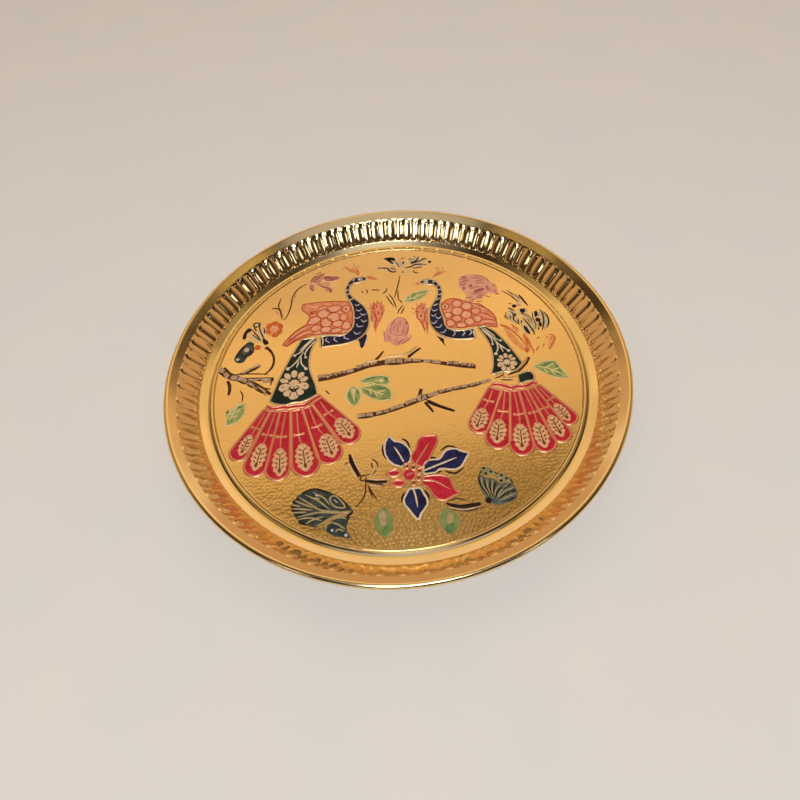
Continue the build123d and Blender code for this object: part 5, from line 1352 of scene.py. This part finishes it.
            [(38.2, -64.4), (36.6, -66.4)], [(44.4, -66.0), (46.0, -67.4)],
            [(51.2, -70.4), (52.6, -73.2)]]},
    "bottomLotusPale": {
        "material": "paleTealEnamel", "slot": "grey_enamel", "top": 1.07, "width": 0.7,
        "lines": [
            [(37.4, -67.6), (37.4, -72.4), (39.8, -78.2)], [(39.8, -69.2), (39.8, -74.0), (40.9, -78.4)],
            [(43.0, -70.0), (41.6, -75.0), (41.7, -78.8)], [(46.2, -72.8), (43.4, -76.0), (42.2, -79.8)],
            [(50.0, -73.4), (46.6, -75.8), (43.4, -79.6)], [(52.6, -75.2), (47.4, -77.2), (43.2, -80.6)],
            [(53.0, -78.6), (48.0, -80.2), (44.4, -81.6)]]},
    "lotusPadPale": {
        "material": "paleTealEnamel", "slot": "grey_enamel", "top": 1.07, "width": 0.95,
        "rings": [
            [(-31.0, -77.2), (-35.0, -77.0), (-37.8, -74.4), (-38.2, -71.4), (-36.0, -70.6),
            (-33.4, -73.0)]],
        "lines": [
            [(-28.2, -79.6), (-36.0, -79.8), (-44.0, -78.8), (-54.4, -80.2)],
            [(-34.0, -79.2), (-42.6, -77.8), (-48.0, -74.0), (-54.0, -69.4)],
            [(-30.6, -80.4), (-37.0, -82.2), (-45.6, -86.0)],
            [(-38.6, -77.8), (-44.0, -72.6), (-50.6, -68.6)],
            [(-38.6, -75.2), (-41.6, -71.0), (-46.6, -67.8)], [(-57.6, -73.2), (-53.2, -74.6)],
            [(-57.4, -75.4), (-52.0, -76.2), (-47.0, -77.2)], [(-56.8, -77.6), (-50.0, -78.0)],
            [(-55.8, -71.2), (-51.4, -73.6), (-46.6, -76.2)],
            [(-54.2, -81.4), (-48.4, -81.2), (-42.6, -83.2)],
            [(-50.4, -84.2), (-46.8, -82.4), (-41.8, -81.2)],
            [(-40.8, -88.6), (-40.2, -85.8), (-37.6, -84.4)],
            [(-38.0, -84.6), (-34.4, -86.2), (-31.4, -88.8)],
            [(-38.2, -82.8), (-33.6, -82.4), (-30.4, -83.6)],
            [(-36.0, -89.8), (-34.4, -88.6), (-32.0, -89.8)], [(-46.2, -70.6), (-43.2, -71.6)]]},
    "lotusPadGlints": {
        "material": "paleBlueEnamel", "slot": "grey_enamel", "top": 1.08, "width": 0.7,
        "dots": [(-37.6, -88.8, 0.7), (-31.0, -92.0, 0.8)],
        "lines": [
            [(-36.4, -72.6), (-34.6, -74.6)], [(-31.6, -80.2), (-29.4, -80.6)],
            [(-46.0, -69.2), (-43.6, -70.0)]]},
    "lotusPadInk": {
        "material": "blackEnamel", "slot": "grey_enamel", "top": 1.06, "width": 1.2,
        "lines": [
            [(-52.4, -67.2), (-46.0, -65.9), (-40.6, -67.9), (-38.4, -69.6)],
            [(-57.0, -72.2), (-54.4, -70.2)], [(-58.0, -74.2), (-54.6, -75.4)],
            [(-57.6, -76.5), (-54.0, -77.0)], [(-56.2, -78.8), (-52.0, -79.2)],
            [(-54.0, -82.6), (-49.6, -85.0)], [(-36.6, -70.0), (-33.0, -72.6), (-30.2, -76.6)],
            [(-27.0, -80.0), (-30.6, -82.6)]]},
    "bottomTwigLines": {
        "material": "barkEnamel", "slot": "brown_enamel", "top": 1.06, "width": 0.8,
        "rings": [oval(-21.4, -62.3, 1.7, 1.4, 40)],
        "lines": [
            [(-20.4, -64.0), (-20.6, -70.0), (-22.6, -74.4), (-25.6, -77.8)],
            [(-19.4, -66.0), (-17.4, -70.6), (-15.2, -74.8)], [(-19.0, -68.0), (-17.2, -73.6)],
            [(-16.6, -51.4), (-14.0, -54.2), (-13.6, -56.6)], [(-17.0, -53.8), (-16.2, -57.0)],
            [(-19.6, -60.8), (-16.6, -60.4), (-14.6, -58.0)], [(-11.0, -67.2), (-16.0, -66.8)],
            [(-26.8, -52.0), (-30.6, -53.4)], [(20.6, -83.8), (28.0, -85.4), (36.0, -84.0)],
            [(19.8, -79.2), (24.0, -78.4), (28.0, -80.0)]]},
}
for motif in (leftPeacock, rightPeacock, starFlower, branches, leaves, flowers):
    for name, art in motif.items():
        drawPiece(name, art)
for side, fan in fans.items():
    drawFan(side, fan, wire, eyeMark)
drawRosette(rosette)
print("picture drawn")

# The camera, at the photograph's angle
camera = {"target": (0.815, -25.846, 14.0), "distance": 330.0, "elevation": 54.997, "roll": -5.509,
          "lens": 28.6, "sensor": 36.0, "clipStart": 10.0}


def makeCamera(c):
    rise, roll = math.radians(c["elevation"]), math.radians(c["roll"])
    back = Vector((0, -math.cos(rise), math.sin(rise)))
    right = Vector((1, 0, 0))
    up = Vector((0, math.sin(rise), math.cos(rise)))
    rolledRight = math.cos(roll) * right + math.sin(roll) * up
    rolledUp = math.cos(roll) * up - math.sin(roll) * right
    data = bpy.data.cameras.new("photoCamera")
    data.lens = c["lens"]
    data.sensor_width = c["sensor"]
    data.clip_start = c["clipStart"] * mm
    eye = bpy.data.objects.new("photoCamera", data)
    bpy.context.scene.collection.objects.link(eye)
    eye.matrix_world = Matrix((
        (rolledRight.x, rolledUp.x, back.x, (c["target"][0] + c["distance"] * back.x) * mm),
        (rolledRight.y, rolledUp.y, back.y, (c["target"][1] + c["distance"] * back.y) * mm),
        (rolledRight.z, rolledUp.z, back.z, (c["target"][2] + c["distance"] * back.z) * mm),
        (0, 0, 0, 1)))
    bpy.context.scene.camera = eye


makeCamera(camera)

# The studio: a pale floor, soft boxes and a dim room
studio = {"floorHalf": 1500.0, "floorDrop": 0.05, "floor": "#F2F6FA", "floorLight": "#FDFCF8",
          "floorCloudMm": 60, "floorDetail": 3.0, "floorRoughness": 0.8, "wall": "#CFA67E",
          "wallTop": 0.55, "ceiling": 0.74,
          "ceilingGlow": 0.06, "frontWall": -0.25, "backWall": 0.35, "frontGlow": 0.1}
softBoxes = {
    "backBox": {"place": (0, 1411, 1942), "size": (2200, 675), "turn": 6, "glow": 0.84, "colour": "#FFDDA4"},
    "farBox": {"place": (0, 1741, 1652), "size": (1960, 400), "turn": 6, "glow": 0.52, "colour": "#FFDFAC"},
    "lowBackBox": {"place": (0, 2024, 1290), "size": (1560, 632), "glow": 0.36, "colour": "#FFFFF0"},
    "nearBox": {"place": (0, 976, 2193), "size": (2400, 352), "glow": 0.38, "colour": "#FFE4AC"},
    "highBackBox": {"place": (0, 1035, 3864), "size": (700, 490), "glow": 1.2, "colour": "#FFF6EA"},
    "frontBox": {"place": (-261, -1400, 1319), "size": (500, 360), "glow": 9.0, "colour": "#FFFFFF"},
    "fillBox": {"place": (0, -1080, 2136), "size": (900, 520), "glow": 13.5, "colour": "#FFFFFF"},
    "frontLeftBox": {"place": (-1180, -1048, 1160), "size": (300, 360), "glow": 3.0, "colour": "#FFFFFF"},
    "frontRightBox": {"place": (1180, -1048, 1160), "size": (300, 360), "glow": 3.0, "colour": "#FFFFFF"},
    "topBox": {"place": (60, 940, 7940), "size": (1400, 1000), "glow": 1.0, "colour": "#EEF2FF"},
    "rimBox": {"place": (0, -1250, 7960), "size": (5400, 3300), "glow": 0.6, "colour": "#F4EEF0"},
    "rimLeftBox": {"place": (-1720, 480, 3580), "size": (900, 900), "glow": 0.46, "colour": "#FFDF9A"},
    "rimRightBox": {"place": (1720, 480, 3580), "size": (900, 900), "glow": 0.62, "colour": "#FFDB91"},
}


def makeStudio(s):
    half = s["floorHalf"] * mm
    mesh = bpy.data.meshes.new("studioFloor")
    corners = [(-half, -half, 0), (half, -half, 0), (half, half, 0), (-half, half, 0)]
    mesh.from_pydata(corners, [], [(0, 1, 2, 3)])
    material, tree, shader, place = newMaterial("paleFloorPaper")  # smooth paper, all but even
    clouds = addNode(tree, "ShaderNodeTexNoise", inputs={
        "Vector": place, "Scale": 1 / s["floorCloudMm"], "Detail": s["floorDetail"]})
    colour = mixColours(tree, clouds.outputs["Fac"], s["floor"], s["floorLight"])
    tree.links.new(colour, shader.inputs["Base Color"])
    shader.inputs["Roughness"].default_value = s["floorRoughness"]
    mesh.materials.append(material)
    floor = bpy.data.objects.new("studioFloor", mesh)
    floor.location.z = -s["floorDrop"] * mm
    bpy.context.scene.collection.objects.link(floor)
    # a room with pale walls at the back and sides, dark in front and overhead
    world = bpy.data.worlds.new("room")
    world.use_nodes = True
    tree = world.node_tree
    coords = addNode(tree, "ShaderNodeTexCoord")
    way = addNode(tree, "ShaderNodeSeparateXYZ", inputs={0: coords.outputs["Generated"]})
    fade = addNode(tree, "ShaderNodeMapRange", {"interpolation_type": "SMOOTHSTEP"}, {
        "Value": way.outputs["Z"], "From Min": s["wallTop"], "From Max": s["ceiling"],
        "To Min": 1.0, "To Max": s["ceilingGlow"]})
    depth = addNode(tree, "ShaderNodeMapRange", {"interpolation_type": "SMOOTHSTEP"}, {
        "Value": way.outputs["Y"], "From Min": s["frontWall"], "From Max": s["backWall"],
        "To Min": s["frontGlow"], "To Max": 1.0})
    both = addNode(tree, "ShaderNodeMath", {"operation": "MULTIPLY"}, {
        0: fade.outputs["Result"], 1: depth.outputs["Result"]})
    background = tree.nodes["Background"]
    background.inputs["Color"].default_value = linear(s["wall"])
    tree.links.new(both.outputs["Value"], background.inputs["Strength"])
    bpy.context.scene.world = world
    for name, box in softBoxes.items():
        light = bpy.data.lights.new(name, "AREA")
        light.shape = "RECTANGLE"
        light.size, light.size_y = (side * mm for side in box["size"])
        light.energy = box["glow"] * math.pi * light.size * light.size_y
        light.color = linear(box["colour"])[:3]
        lamp = bpy.data.objects.new(name, light)
        place = Vector(box["place"]) * mm
        lamp.location = place
        turn = Matrix.Rotation(math.radians(box.get("turn", 0)), 3, "Z")
        lamp.rotation_euler = ((-place).to_track_quat("-Z", "Y").to_matrix() @ turn).to_euler()
        lamp.visible_camera = False
        bpy.context.scene.collection.objects.link(lamp)
    bpy.context.scene.view_settings.view_transform = "Standard"


makeStudio(studio)
print("camera and studio set")
